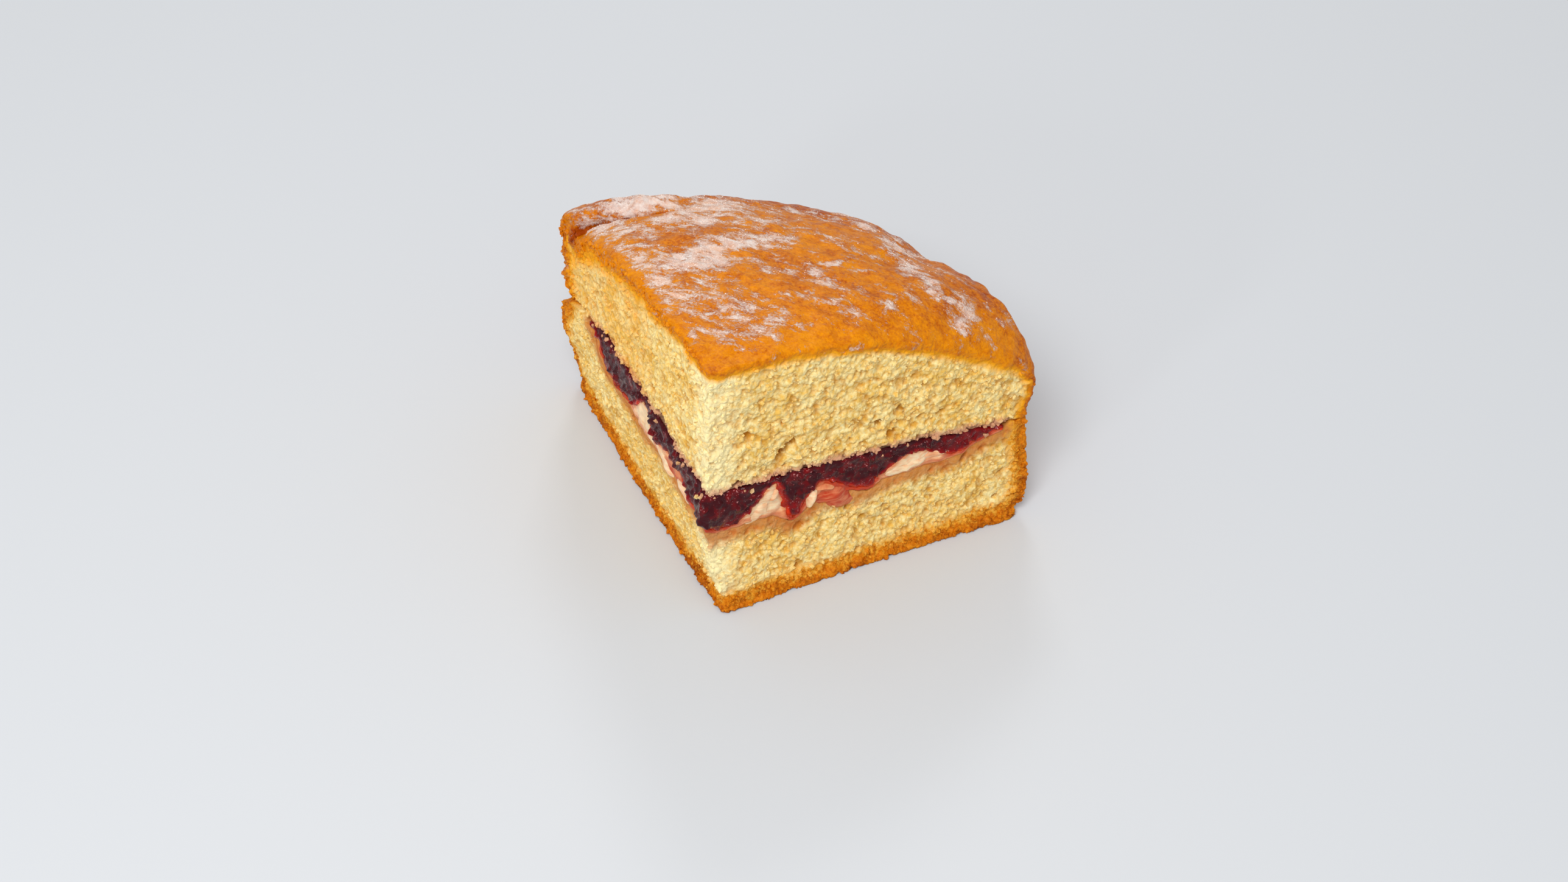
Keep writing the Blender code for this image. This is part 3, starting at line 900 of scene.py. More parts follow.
@dataclass
class SpongeLayer:
    """One layer of sponge as a fine mesh with open crumb on its cuts and skin elsewhere."""

    node: str
    name: str
    slot: str
    voxel: float = 0.34
    rounds: int = 14              # how often the sharp edges are smoothed
    crust_depth: float = 4.0      # how deep the browning reaches below the skin
    stain_reach: float = 2.2      # how far the filling has soaked in
    seed: float = 0.0
    hollows: tuple[Hollow, ...] = ()
    edge_relief: Pair = (0.7, 0.7)    # how crumbly the right and left cut are beside the skin
    soak_relief: float = 1.0      # how crumbly a cut still is where it is soaked
    soak_ragged: float = 2.2      # how uneven a cut is where it is soaked
    bulge: float = 1.2            # how far the wall stands out at its right end
    band_recess: float = 0.0      # how far the crust lies back from the crumb on a cut
    tip_flat_and_lit: float = 0.26         # how flat the crumb is at the tip, and how strong the highlight painted there is
    reach: float = 8.0            # how far from the skin and the filling it measures

    def skin_face(self, middle: Vector, normal: Vector) -> bool:
        """Whether a face of the solid is baked skin."""
        raise NotImplementedError

    def hidden(self, places: np.ndarray, normals: np.ndarray) -> np.ndarray:
        """Where the other layers or the table hide the surface."""
        raise NotImplementedError

    def measure(self, piece: bpy.types.Object) -> None:
        """Stores at each vertex what the relief and the finish need."""
        places, normals = vertex_rows(piece)
        radius, turn = SLICE.polar(places)
        depth = distances(self.node, self.skin_face, places, self.reach)
        filling = gap_to(places, self.reach, "jam_filling", "cream_filling")
        set_mark(piece, Mark.CUT, SLICE.cut_share(normals))
        set_mark(piece, Mark.CRUST,
                 1.0 - np.clip(depth / self.browned(radius, turn), 0.0, 1.0))
        set_mark(piece, Mark.STAIN, 1.0 - np.clip(filling / self.stain_reach, 0.0, 1.0))
        set_mark(piece, Mark.SHADE, self.shade(radius, turn, places))
        set_mark(piece, Mark.SUGAR, self.sugar(radius, turn, places, normals))

    def browned(self, radius: np.ndarray, turn: np.ndarray) -> np.ndarray:
        """How deep the browning reaches below the skin."""
        return np.full(len(radius), self.crust_depth)

    def shade(self, radius: np.ndarray, turn: np.ndarray, places: np.ndarray) -> np.ndarray:
        """How light the skin is, about 0.5."""
        return np.full(len(radius), 0.5)

    def sugar(self, radius: np.ndarray, turn: np.ndarray, places: np.ndarray,
              normals: np.ndarray) -> np.ndarray:
        """How much sugar lies at each vertex."""
        return np.zeros(len(radius))

    def shape(self, piece: bpy.types.Object) -> None:
        """Presses the large holes into the cuts and pushes the wall out at its right end."""
        places, normals = vertex_rows(piece)
        radius, turn = SLICE.polar(places)
        open_share = np.zeros(len(radius))
        # at the tip the crumb is flattened and a highlight is painted
        tip_flat_and_lit = self.tip_flat_and_lit * (1.0 - ease(2.0, 11.0, radius))
        for hollow in self.hollows:
            tilt = math.radians(hollow.tilt)
            outward, upward = radius - hollow.radius, places[:, 2] - hollow.height
            along = (outward * math.cos(tilt) + upward * math.sin(tilt)) / hollow.length
            across = (upward * math.cos(tilt) - outward * math.sin(tilt)) / hollow.width
            away = along ** 2 + across ** 2
            share = np.clip(1.3 * np.exp(-away), 0.0, 1.0)
            share *= ease(0.5, 0.8, normals @ hollow.cut.outward)
            places -= (share * hollow.depth)[:, None] * hollow.cut.outward
            open_share = np.maximum(open_share, share)
        set_mark(piece, Mark.HOLLOW, open_share - tip_flat_and_lit * (1.0 - open_share))
        wall = ease(0.86, 0.98, radius / SLICE.radius) * ease(26.0, 42.0, turn)
        places[:, :2] += (self.bulge * wall)[:, None] * SLICE.outward(places, radius)
        move_to(piece, places)

    def relief(self, piece: bpy.types.Object) -> None:
        """Works the open crumb and the skin's wrinkles into the mesh."""
        sketch = GeometrySketch(self.name + "_relief")
        sketch.wander()
        place = sketch.shifted(sketch.place, (self.seed,) * 3)
        cut = sketch.mark(Mark.CUT)
        crust = sketch.mark(Mark.CRUST)
        stain = sketch.mark(Mark.STAIN)
        open_share = sketch.mark(Mark.HOLLOW)
        swell = sketch.swing(place, 13.0, detail=1.0)
        cloud = sketch.swing(place, 4.2, detail=2.0, roughness=0.5)
        coarse, kind = sketch.lumps(place, 2.6)
        fine, _ = sketch.lumps(sketch.shifted(place, (5.0, 3.0, 9.0)), 1.3)
        bent = sketch.bent(sketch.shifted(place, (31.0, 7.0, 3.0)), 3.0, 1.6)
        near, colour = sketch.cells(sketch.stretched(bent, (1.0, 1.0, 1.5)), 4.4)
        hole = sketch.times(sketch.ease(near, 0.08, 0.28, 1.0, 0.0),
                            sketch.ease(sketch.part_of(colour), 0.55, 0.85))
        ragged = sketch.plus(sketch.noise(place, 2.0, detail=3.0, roughness=0.7), -0.42)
        beside = sketch.on_side(*self.edge_relief)
        crumb = sketch.times(cut, sketch.ramp(crust, 0.2, 0.7, 1.0, beside),
                             sketch.on_side(0.9, 0.8),
                             sketch.ramp(open_share, -0.9, 0.0, 0.55, 1.0),
                             sketch.ramp(stain, 0.2, 0.8, 1.0, self.soak_relief))
        open_height = sketch.plus(
            sketch.times(coarse, sketch.plus(0.35, sketch.times(kind, 0.62))),
            sketch.times(fine, 0.50), sketch.times(cloud, 0.8), swell,
            sketch.times(hole, -1.3), sketch.times(stain, ragged, self.soak_ragged), -0.70)
        wrinkle = sketch.swing(place, 2.6, detail=3.0, roughness=0.6, twist=0.8)
        dimple = sketch.swing(place, 9.0, detail=2.0)
        skin_height = sketch.plus(sketch.times(wrinkle, 0.22), sketch.times(dimple, 0.9))
        crevice = sketch.plus(sketch.times(coarse, -0.62), sketch.times(fine, -0.42),
                              sketch.times(cloud, -0.9), 0.88)
        # painted shade goes where the crumb is low, in the holes and in the hollows, and less at
        # the tip
        pit = sketch.plus(sketch.ramp(crevice, 0.10, 0.85, 0.0, 0.85), sketch.times(hole, 0.6),
                          sketch.times(open_share, 0.8))
        sketch.store(Mark.PIT, sketch.ramp(pit, 0.0, 1.0))
        crumbly = sketch.plus(sketch.times(coarse, 0.6), sketch.times(fine, 0.35), -0.5)
        skin = sketch.math("SUBTRACT", 1.0, cut)
        recess = sketch.times(cut, sketch.ramp(crust, 0.55, 0.68), -self.band_recess)
        height = sketch.plus(sketch.times(open_height, crumb), sketch.times(skin_height, skin),
                             sketch.times(crumbly, self.crumbly_skin(sketch)), recess)
        sketch.push(height)
        sketch.apply_to(piece)

    def crumbly_skin(self, sketch: GeometrySketch) -> Value:
        """How crumbly the skin is: only low on the wall."""
        low = sketch.ease(sketch.part_of(sketch.place, 2), 40.0, 52.0, 1.0, 0.0)
        return sketch.times(low, sketch.mark(Mark.CRUST), 0.9)

    def build(self, material: bpy.types.Material) -> bpy.types.Object:
        """Makes the whole layer.

        Args:
            material: the finish it gets.

        Returns:
            The finished piece.
        """
        piece = smooth_copy(self.node, self.name, levels=2, crease_degrees=38.0)
        modifier = piece.modifiers.new("even_mesh", "REMESH")
        modifier.mode = "VOXEL"
        modifier.voxel_size = self.voxel * MM
        apply_modifier(piece, modifier)
        modifier = piece.modifiers.new("soft_edges", "SMOOTH")
        modifier.factor, modifier.iterations = 0.5, self.rounds
        apply_modifier(piece, modifier)
        places, normals = vertex_rows(piece)
        cut = SLICE.cut_share(normals)
        thin_out(piece, np.where(self.hidden(places, normals), 1.0,
                                 np.where(cut < 0.2, 0.5, 0.0)))
        self.measure(piece)
        self.shape(piece)
        self.relief(piece)
        keep_above_table(piece)
        dress(piece, material)
        hand_over(piece, self.slot, self.node)
        return piece


@dataclass(frozen=True)
class Patch:
    """A place on the crown where more sugar fell."""

    turn: float        # degrees from the middle line
    radius: float      # from the tip
    across: float      # half its size along the turn
    along: float       # half its size along the radius
    amount: float


@dataclass
class TopSponge(SpongeLayer):
    """The upper layer, with the domed golden crust that the sugar was dusted on."""

    node: str = "top_sponge"
    name: str = "top_sponge_crumb"
    slot: str = "golden_sponge"
    seed: float = 3.0
    stain_reach: float = 3.2
    edge_relief: Pair = (0.3, 0.9)
    hollows: tuple[Hollow, ...] = (
        Hollow(Cut.RIGHT, 20.6, 46.6, 3.4, 0.9, 52.0, 3.4),
        Hollow(Cut.RIGHT, 45.9, 46.5, 1.1, 0.8, 30.0, 2.0),
        Hollow(Cut.RIGHT, 51.1, 48.3, 1.2, 0.7, 60.0, 2.0),
        Hollow(Cut.RIGHT, 49.4, 41.3, 1.0, 0.7, 20.0, 1.8),
        Hollow(Cut.RIGHT, 62.7, 42.5, 1.0, 0.8, 40.0, 2.0),
        Hollow(Cut.RIGHT, 19.0, 53.5, 0.9, 0.5, 10.0, 1.6),
        Hollow(Cut.RIGHT, 10.8, 56.0, 1.2, 0.8, 80.0, 1.4),
        Hollow(Cut.LEFT, 27.0, 41.5, 2.6, 1.2, 20.0, 2.6),
        Hollow(Cut.LEFT, 31.0, 47.5, 1.2, 0.8, 40.0, 1.6))
    left_browning: float = 5.5    # how much deeper the browning reaches at the left cut
    dusted: float = 0.26          # how much sugar fell all over
    bare_edge: float = 10.0       # how far the sugar keeps from the right cut
    crease: float = 75.5          # radius of the fold in front of the roll at the back left
    crease_swing: float = 7.0     # how much further out the fold runs at the left cut
    roll_end: float = -22.0       # turn at which the roll runs out
    roll_fade: float = 9.0        # over how many degrees it runs out
    roll_rise: float = 3.0        # how far the roll rises behind the fold
    crease_depth: float = 2.7     # how deep the fold is pressed in
    overhang: float = 2.4         # how far the roll leans over the fold
    dusting: tuple[Patch, ...] = (
        Patch(-5, 20, 8, 9, 0.45), Patch(-30, 31, 7, 5, 0.50), Patch(-33, 42, 8, 6, 0.45),
        Patch(-20, 44, 7, 4, 0.50), Patch(-17, 51, 9, 5, 0.62), Patch(-7, 57, 9, 5, 0.45),
        Patch(-14, 68, 14, 5, 0.35), Patch(-26, 67, 10, 4, 0.45), Patch(-42, 58, 8, 6, 0.36),
        Patch(-40, 74, 8, 4, 0.40), Patch(-44, 50, 5, 4, 0.30), Patch(15, 47, 6, 3, 0.50),
        Patch(28, 43, 5, 3, 0.30), Patch(36, 53, 4, 3, 0.42), Patch(23, 22, 5, 4, 0.25),
        Patch(17, 78, 7, 5, 0.55), Patch(24, 72, 7, 4, 0.55), Patch(10, 83, 9, 4, 0.40),
        Patch(33, 73, 7, 6, 0.62), Patch(41, 74, 4, 5, 0.45), Patch(-5, 80, 12, 5, 0.25),
        Patch(-36, 82, 17, 6, 0.60), Patch(-20, 78, 8, 6, 0.66), Patch(-38, 66, 10, 3, 0.35))

    def skin_face(self, middle: Vector, normal: Vector) -> bool:
        """The crown and the outer wall."""
        return is_outer(middle, normal) or normal.z > 0.25

    def hidden(self, places: np.ndarray, normals: np.ndarray) -> np.ndarray:
        """The face that lies on the filling."""
        return normals[:, 2] < -0.6

    def browned(self, radius: np.ndarray, turn: np.ndarray) -> np.ndarray:
        """Deeper along the outer part of the left cut."""
        outer_left = ease(0.0, 10.0, -turn) * ease(10.0, 40.0, radius)
        return self.crust_depth + self.left_browning * outer_left

    def from_crease(self, radius: np.ndarray, turn: np.ndarray) -> tuple[np.ndarray, np.ndarray]:
        """How far outside the crease each place is, and how strongly the roll shows there."""
        line = self.crease + self.crease_swing * ease(30.0, 46.0, -turn)
        return radius - line, ease(-self.roll_end, -self.roll_end + self.roll_fade, -turn)

    def shade(self, radius: np.ndarray, turn: np.ndarray, places: np.ndarray) -> np.ndarray:
        """Lighter near the cuts, darker round the rim and down the wall, with painted shade in the
        crease.
        """
        share = radius / SLICE.radius
        edge = radius * np.sin(np.radians(45.0 - np.abs(turn)))
        beyond, roll = self.from_crease(radius, turn)
        tone = 0.50 + 0.16 * (1.0 - ease(1.0, 11.0, edge)) - 0.22 * ease(0.86, 1.0, share)
        # painted shade along the crease in front of the roll
        return tone - 0.60 * roll * ridge(beyond, -0.5, 1.2)

    def sugar(self, radius: np.ndarray, turn: np.ndarray, places: np.ndarray,
              normals: np.ndarray) -> np.ndarray:
        """A light dusting with heavier patches, and none near the right cut and the tip."""
        amount = self.dusted - 0.10 * ease(-10.0, 30.0, turn)
        for patch in self.dusting:
            sideways = np.radians(turn - patch.turn) * radius / patch.across
            outward = (radius - patch.radius) / patch.along
            amount = amount + patch.amount * np.exp(-(sideways ** 2 + outward ** 2))
        right_edge = radius * np.sin(np.radians(45.0 - turn))
        left_edge = radius * np.sin(np.radians(45.0 + turn))
        bare = ease(2.0, self.bare_edge, right_edge) * ease(0.0, 2.5, left_edge)
        bare *= ease(9.0, 16.0, radius)
        beyond, roll = self.from_crease(radius, turn)
        bare *= 1.0 - roll * ridge(beyond, -0.6, 1.1)
        return amount * bare * ease(0.1, 0.5, normals[:, 2])

    def shape(self, piece: bpy.types.Object) -> None:
        """Also folds the roll over its crease."""
        super().shape(piece)
        places, normals = vertex_rows(piece)
        radius, turn = SLICE.polar(places)
        beyond, roll = self.from_crease(radius, turn)
        roll *= ease(0.2, 0.6, normals[:, 2]) * ease(56.0, 60.0, places[:, 2])
        lift = self.roll_rise * ridge(beyond, 5.5, 4.0)
        lift -= self.crease_depth * ridge(beyond, -0.8, 1.7)
        pull = self.overhang * ridge(beyond, 3.0, 2.4)
        places[:, 2] += roll * lift
        places[:, :2] -= (roll * pull)[:, None] * SLICE.outward(places, radius)
        move_to(piece, places)


@dataclass
class BottomSponge(SpongeLayer):
    """The lower layer, with a browned and crumbly base and side."""

    node: str = "bottom_sponge"
    name: str = "bottom_sponge_crumb"
    slot: str = "sponge_crumb"
    seed: float = 17.0
    crust_depth: float = 6.4
    stain_reach: float = 6.5
    soak_relief: float = 0.22
    soak_ragged: float = 0.8
    band_recess: float = 0.2
    hollows: tuple[Hollow, ...] = (
        Hollow(Cut.RIGHT, 25.0, 19.5, 1.4, 1.0, 60.0, 1.8),
        Hollow(Cut.RIGHT, 70.0, 24.0, 1.3, 0.6, 50.0, 2.0),
        Hollow(Cut.LEFT, 30.0, 14.0, 1.2, 0.8, 10.0, 1.6))
    foot: float = 1.8             # how far the base spreads at its rim

    def skin_face(self, middle: Vector, normal: Vector) -> bool:
        """The base and the outer wall."""
        return is_outer(middle, normal) or normal.z < -0.5

    def hidden(self, places: np.ndarray, normals: np.ndarray) -> np.ndarray:
        """The base and the face under the filling."""
        return np.abs(normals[:, 2]) > 0.8

    def shape(self, piece: bpy.types.Object) -> None:
        """Also spreads the foot, so that the slice stands on its whole base."""
        super().shape(piece)
        places, normals = vertex_rows(piece)
        level = normals[:, :2]
        length = np.linalg.norm(level, axis=1)
        spread = self.foot * (1.0 - ease(0.0, 3.5, places[:, 2])) * ease(0.15, 0.6, length)
        places[:, :2] += level / np.maximum(length, 0.01)[:, None] * spread[:, None]
        move_to(piece, places)

    def crumbly_skin(self, sketch: GeometrySketch) -> Value:
        """The whole lower crust is crumbly."""
        skin = sketch.ramp(sketch.mark(Mark.CRUST), 0.50, 0.75)
        return sketch.times(skin, sketch.ramp(sketch.mark(Mark.CUT), 0.2, 0.8, 1.1, 0.5))

    def shade(self, radius: np.ndarray, turn: np.ndarray, places: np.ndarray) -> np.ndarray:
        """Darker towards the base."""
        return 0.34 + 0.14 * ease(0.0, 20.0, places[:, 2])


def is_outer(middle: Vector, normal: Vector) -> bool:
    """Whether a face of a solid belongs to the outer wall."""
    outward = Vector((middle.x - SLICE.tip[0], middle.y - SLICE.tip[1], 0.0))
    return outward.length > 0.9 * SLICE.radius and normal.dot(outward.normalized()) > 0.5


# ------------------------------------------------------------------ fillings

@dataclass
class Filling:
    """A layer of soft filling that fills the room between the sponges."""

    node: str
    name: str
    slot: str
    swell: float = 0.32       # how far it reaches past its solid, to meet its neighbours
    lump: float = 1.2         # height of its lumps
    lump_size: float = 3.4    # how far apart its lumps are
    bead: float = 0.0         # height of small beads
    seed: float = 0.0
    reach: float = 6.0        # how far from its neighbours it measures

    def marks(self, piece: bpy.types.Object) -> None:
        """Stores what the finish needs."""
        raise NotImplementedError

    def build(self, material: bpy.types.Material) -> bpy.types.Object:
        """Makes the whole layer of filling.

        Args:
            material: the finish it gets.

        Returns:
            The finished piece.
        """
        piece = smooth_copy(self.node, self.name, levels=3, crease_degrees=60.0)
        places, normals = vertex_rows(piece)
        thin_out(piece, np.where(SLICE.cut_share(normals) < 0.1, 1.0, 0.1))
        self.marks(piece)
        places, normals = vertex_rows(piece)
        set_mark(piece, Mark.CUT, SLICE.cut_share(normals))
        sketch = GeometrySketch(self.name + "_relief")
        sketch.wander()
        place = sketch.shifted(sketch.place, (self.seed,) * 3)
        lump = sketch.swing(place, self.lump_size, detail=3.0, roughness=0.55, twist=0.5)
        near, kind = sketch.cells(sketch.bent(place, 3.0, 0.8), 2.0)
        bead = sketch.times(sketch.ease(near, 0.0, 0.75, 1.0, 0.0), sketch.part_of(kind))
        height = sketch.plus(sketch.times(lump, self.lump), sketch.times(bead, self.bead))
        sketch.push(sketch.plus(self.swell, sketch.times(height, sketch.mark(Mark.CUT))))
        sketch.apply_to(piece)
        dress(piece, material)
        hand_over(piece, self.slot, self.node)
        return piece


@dataclass
class Cream(Filling):
    """The cream, pinker where it was folded with jam."""

    node: str = "cream_filling"
    name: str = "folded_cream"
    slot: str = "cream"

    def marks(self, piece: bpy.types.Object) -> None:
        """Blush by place along each cut, and where the jam lies against it."""
        places, _ = vertex_rows(piece)
        radius, turn = SLICE.polar(places)
        right = 0.90 * ridge(radius, 35.5, 6.5) + 0.10
        left = 0.55 * (1.0 - ease(20.0, 31.0, radius)) + 0.9 * ease(44.0, 50.0, radius)
        near_jam = 0.40 * (1.0 - ease(0.3, 1.4, gap_to(places, self.reach, "jam_filling")))
        sponge = gap_to(places, self.reach, "bottom_sponge")
        near_sponge = 0.45 * (1.0 - ease(0.6, 3.2, sponge))
        set_mark(piece, Mark.BLUSH, np.where(turn > 0.0, right, left) + near_jam + near_sponge)


@dataclass
class Jam(Filling):
    """The jam, brighter where it is thin."""

    node: str = "jam_filling"
    name: str = "berry_jam"
    slot: str = "jam"
    lump: float = 1.0
    bead: float = 1.7
    seed: float = 8.0

    def marks(self, piece: bpy.types.Object) -> None:
        """Brighter low down, at the outer end and along its lower edge."""
        places, _ = vertex_rows(piece)
        radius, _ = SLICE.polar(places)
        below = gap_to(places, self.reach, "bottom_sponge", "cream_filling")
        low = 1.0 - ease(24.0, 34.0, places[:, 2])
        outer = ease(60.0, 76.0, radius)
        edge = 0.55 * (1.0 - ease(0.3, 1.5, below))
        above = gap_to(places, self.reach, "top_sponge")
        set_mark(piece, Mark.SHADE, 0.05 + 0.20 * low + 0.22 * outer + edge)
        set_mark(piece, Mark.STAIN, 1.0 - ease(0.8, 2.6, above))


@dataclass(frozen=True)
class Streak:
    """A fold of cream that shows on a cut face, where the knife went through it."""

    cut: Cut
    radius: float        # of its middle, from the tip
    height: float        # of its middle, above the table
    length: float        # half its length
    width: float         # half its width
    tilt: float          # degrees that it rises outwards
    blush: float
    bend: float = 0.0    # how far its ends turn up
    proud: float = 0.6   # how far it stands out of the cut


@dataclass
class CreamStreaks:
    """The rounded folds of cream that stand out of the jam."""

    name: str = "cream_streaks"
    slot: str = "cream"
    thickness: float = 2.4       # half of each fold's depth into the cake
    ripple: float = 1.5          # how uneven the folds are
    streaks: tuple[Streak, ...] = (
        Streak(Cut.RIGHT, 13.2, 28.4, 6.2, 2.5, 46.0, 0.12, 0.5),
        Streak(Cut.RIGHT, 18.2, 34.0, 4.6, 1.4, 62.0, 0.25),
        Streak(Cut.RIGHT, 34.2, 25.6, 7.4, 3.6, -32.0, 0.86, -1.0, 1.0),
        Streak(Cut.RIGHT, 27.6, 27.6, 3.2, 1.2, 76.0, 0.08, -0.9, 1.7),
        Streak(Cut.RIGHT, 31.4, 30.0, 3.2, 1.0, -12.0, 0.50, -0.6, 1.4),
        Streak(Cut.RIGHT, 54.0, 28.0, 8.6, 2.3, 5.0, 0.10, 0.4),
        Streak(Cut.RIGHT, 62.0, 29.2, 5.0, 1.6, 4.0, 0.30),
        Streak(Cut.LEFT, 34.0, 31.0, 7.2, 2.9, 36.0, 0.10, 0.4),
        Streak(Cut.LEFT, 24.5, 29.8, 6.4, 2.7, 14.0, 0.15, 0.0, 1.2),
        Streak(Cut.LEFT, 13.0, 30.2, 6.2, 2.3, 4.0, 0.20, 0.0, 1.2))

    def fold(self, streak: Streak) -> bpy.types.Object:
        """One fold as a bent and flattened ball."""
        bpy.ops.object.select_all(action="DESELECT")
        bpy.ops.mesh.primitive_ico_sphere_add(subdivisions=5, radius=1.0)
        piece = bpy.context.active_object
        places, _ = vertex_rows(piece)
        along, across, deep = (places * MM).T
        blush = streak.blush + 0.12 * np.abs(across) ** 3
        set_mark(piece, Mark.BLUSH, np.clip(blush, 0.0, 1.0))
        upward = across * streak.width + streak.bend * along ** 2
        tilt = math.radians(streak.tilt)
        outward = along * streak.length
        radius = streak.radius + outward * math.cos(tilt) - upward * math.sin(tilt)
        height = streak.height + outward * math.sin(tilt) + upward * math.cos(tilt)
        inward = np.array([streak.cut.value, 1.0]) / math.sqrt(2.0)
        depth = deep * self.thickness + streak.proud - self.thickness
        level = np.array(SLICE.tip) + radius[:, None] * inward
        level += depth[:, None] * streak.cut.outward[:2]
        move_to(piece, np.column_stack([level, height]))
        return piece

    def build(self, material: bpy.types.Material) -> bpy.types.Object:
        """Makes all the folds as one joined mesh.

        Args:
            material: the finish they get.

        Returns:
            The finished piece.
        """
        folds = [self.fold(streak) for streak in self.streaks]
        bpy.ops.object.select_all(action="DESELECT")
        for fold in folds:
            fold.select_set(True)
        bpy.context.view_layer.objects.active = folds[0]
        bpy.ops.object.join()
        piece = folds[0]
        piece.name = piece.data.name = self.name
        select_only(piece)
        bpy.ops.object.mode_set(mode="EDIT")
        bpy.ops.mesh.select_all(action="SELECT")
        bpy.ops.mesh.normals_make_consistent(inside=False)
        bpy.ops.object.mode_set(mode="OBJECT")
        sketch = GeometrySketch(self.name + "_relief")
        sketch.wander()
        ripple = sketch.swing(sketch.place, 4.0, detail=1.0, roughness=0.5)
        sketch.push(sketch.times(ripple, self.ripple))
        sketch.apply_to(piece)
        dress(piece, material)
        hand_over(piece, self.slot)
        return piece


# ------------------------------------------------------------------ scattered pieces

@dataclass
class Scatter:
    """Many small lumps scattered over a finished piece."""

    name: str
    slot: str
    per_square_mm: float
    sizes: Pair              # the smallest and the largest diameter
    squash: float            # how flat the flattest lump is, as a share of its width
    seed: int

    def share(self, sketch: GeometrySketch) -> Value:
        """How densely the lumps lie."""
        raise NotImplementedError

    def build(self, source: bpy.types.Object, material: bpy.types.Material) -> bpy.types.Object:
        """Makes the lumps as one joined mesh.

        Args:
            source: the finished piece that they lie on.
            material: the finish they get.

        Returns:
            The finished piece.
        """
        piece = copy_mesh(source, self.name)
        sketch = GeometrySketch(self.name + "_scatter")
        sketch.scatter(self.per_square_mm, self.share(sketch), self.sizes, self.squash, self.seed)
        shade = sketch.noise(sketch.place, 1.5, detail=1.0)
        sketch.store(Mark.PIT, sketch.ramp(shade, 0.4, 0.8, 0.0, 0.6))
        sketch.apply_to(piece)
        keep_above_table(piece)
        dress(piece, material, smooth=False)
        hand_over(piece, self.slot)
        return piece


@dataclass
class SugarGrains(Scatter):
    """Grains of sugar where the dusting is thick."""

    name: str = "sugar_grains"
    slot: str = "cream"
    per_square_mm: float = 4.0
    sizes: Pair = (0.14, 0.42)
    squash: float = 0.5
    seed: int = 5

    def share(self, sketch: GeometrySketch) -> Value:
        """Follows the dusting, in streaks and clusters."""
        amount = streaky(sketch, sketch.mark(Mark.SUGAR))
        return sketch.times(sketch.ramp(amount, 0.0, 0.9),
                            sketch.ramp(sketch.mark(Mark.SUGAR), 0.05, 0.2))


@dataclass
class CutCrumbs(Scatter):
    """Crumbs that stand out of the cut faces."""

    sizes: Pair = (0.6, 2.0)
    squash: float = 0.6
    seed: int = 0
    on_crust: Pair = (1.0, 1.0)   # how many of them there are on the right and left crust edge
    on_soaked: float = 1.0        # how many of them there are where the filling soaked in

    def share(self, sketch: GeometrySketch) -> Value:
        """Thick on the open crumb in loose clusters, and few in the hollows."""
        cluster = sketch.noise(sketch.place, 4.0, detail=3.0)
        beside = sketch.on_side(*self.on_crust)
        plain = sketch.ramp(sketch.mark(Mark.CRUST), 0.2, 0.6, 1.0, beside)
        dry = sketch.ramp(sketch.mark(Mark.STAIN), 0.1, 0.6, 1.0, self.on_soaked)
        return sketch.times(sketch.mark(Mark.CUT), sketch.ramp(cluster, 0.38, 0.62, 0.3, 1.0),
                            sketch.ramp(sketch.mark(Mark.PIT), 0.3, 0.8, 1.0, 0.1), plain, dry)


@dataclass
class FallenCrumbs(Scatter):
    """Pale crumbs that the knife left on the jam."""

    name: str = "fallen_crumbs"
    slot: str = "golden_sponge"
    per_square_mm: float = 0.22
    sizes: Pair = (0.9, 2.4)
    squash: float = 0.6
    seed: int = 31

    def share(self, sketch: GeometrySketch) -> Value:
        """Along the upper edge of the jam, in clusters."""
        cluster = sketch.noise(sketch.place, 5.0, detail=2.0)
        return sketch.times(sketch.mark(Mark.CUT), sketch.mark(Mark.STAIN),
                            sketch.ramp(cluster, 0.46, 0.62))


# ------------------------------------------------------------------ studio

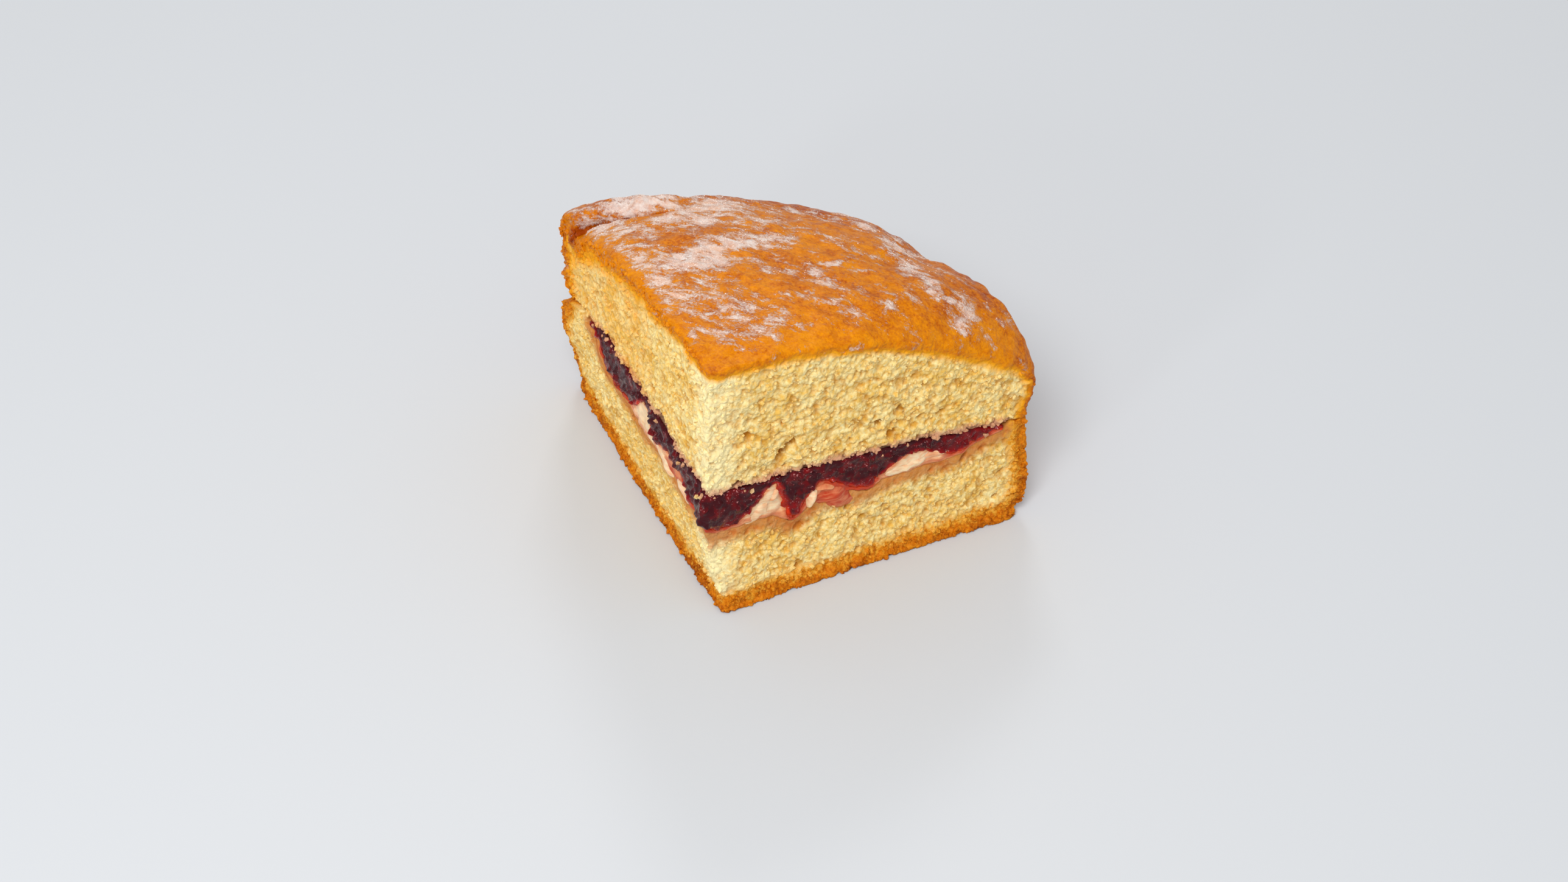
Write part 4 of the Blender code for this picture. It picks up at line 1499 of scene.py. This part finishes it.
@dataclass
class Studio:
    """A pale floor, soft light and the camera, in metres and degrees."""

    azimuth: float = 18.1
    elevation: float = 45.75
    roll: float = 2.0
    distance: float = 0.7537
    lens: float = 69.88
    sensor: float = 36.0
    aim_from_tip: Point = (0.0077, 0.0335, 0.030)
    floor_size: float = 4.0
    floor_gap: float = 0.0002     # keeps the floor and the base apart
    sky: float = 0.62

    def floor(self) -> None:
        """A large flat floor just under the slice."""
        bpy.ops.mesh.primitive_plane_add(size=self.floor_size,
                                         location=(0.0, 0.0, -self.floor_gap))
        floor = bpy.context.active_object
        floor.name = "floor"
        floor.data.materials.append(FloorFinish().material())

    def light(self, name: str, place: Point, aim: Point, size: float, power: float,
              colour: Colour = (1.0, 1.0, 1.0)) -> None:
        """A square soft light that points at a place."""
        data = bpy.data.lights.new(name, "AREA")
        data.size = size
        data.energy = power
        data.color = colour
        lamp = bpy.data.objects.new(name, data)
        lamp.location = place
        lamp.rotation_euler = (Vector(aim) - Vector(place)).to_track_quat("-Z", "Y").to_euler()
        bpy.context.scene.collection.objects.link(lamp)

    def lights(self) -> None:
        """A soft key light in front, a weak one behind, a small one for gloss and an even sky."""
        self.light("key", place=(0.02, -0.60, 0.90), aim=(0.0, 0.0, 0.04), size=0.40, power=6.5,
                   colour=(1.0, 0.995, 0.985))
        self.light("back", place=(-0.30, 0.80, 0.80), aim=(0.0, 0.0, 0.07), size=0.25, power=2.0)
        self.light("glint", place=(-0.35, -1.10, 0.55), aim=(0.0, 0.0, 0.03), size=0.15,
                   power=1.2)
        world = bpy.data.worlds.new("sky")
        world.use_nodes = True
        sky = world.node_tree.nodes["Background"].inputs
        sky["Color"].default_value = (1.0, 1.0, 1.0, 1.0)
        sky["Strength"].default_value = self.sky
        bpy.context.scene.world = world

    def camera(self) -> None:
        """Looks down at the tip of the slice, a little from its right."""
        azimuth, elevation = math.radians(self.azimuth), math.radians(self.elevation)
        back = Vector((math.sin(azimuth) * math.cos(elevation),
                       -math.cos(azimuth) * math.cos(elevation), math.sin(elevation)))
        right = (-back).cross(Vector((0.0, 0.0, 1.0))).normalized()
        upward = right.cross(-back)
        roll = math.radians(self.roll)
        across = math.cos(roll) * right + math.sin(roll) * upward
        upright = math.cos(roll) * upward - math.sin(roll) * right
        tip = Vector((SLICE.tip[0] * MM, SLICE.tip[1] * MM, 0.0))
        place = tip + Vector(self.aim_from_tip) + back * self.distance
        data = bpy.data.cameras.new("camera")
        data.lens = self.lens
        data.sensor_width = self.sensor
        camera = bpy.data.objects.new("camera", data)
        turn = Matrix((across, upright, back)).transposed()
        camera.matrix_world = Matrix.Translation(place) @ turn.to_4x4()
        bpy.context.scene.collection.objects.link(camera)
        bpy.context.scene.camera = camera

    def build(self) -> None:
        """Sets the whole stage."""
        self.floor()
        self.lights()
        self.camera()
        bpy.context.scene.view_settings.view_transform = "Standard"


def main() -> None:
    """Builds the pieces in order, from the table up."""
    logging.basicConfig(level=logging.INFO, format="%(name)s %(message)s")
    Studio().build()
    bottom_finish = BottomSpongeFinish().material()
    top_finish = TopSpongeFinish().material()
    bottom = BottomSponge().build(bottom_finish)
    top = TopSponge().build(top_finish)
    cream_finish = CreamFinish().material()
    Cream().build(cream_finish)
    CreamStreaks().build(cream_finish)
    jam = Jam().build(JamFinish().material())
    SugarGrains().build(top, SugarFinish().material())
    CutCrumbs(name="top_crumbs", slot="golden_sponge", per_square_mm=0.45, seed=11,
              on_crust=(0.0, 2.5), on_soaked=4.0).build(top, top_finish)
    CutCrumbs(name="bottom_crumbs", slot="sponge_crumb", per_square_mm=0.55, seed=23,
              on_crust=(2.0, 2.0), on_soaked=0.1).build(bottom, bottom_finish)
    FallenCrumbs().build(jam, top_finish)


if __name__ == "__main__":
    main()
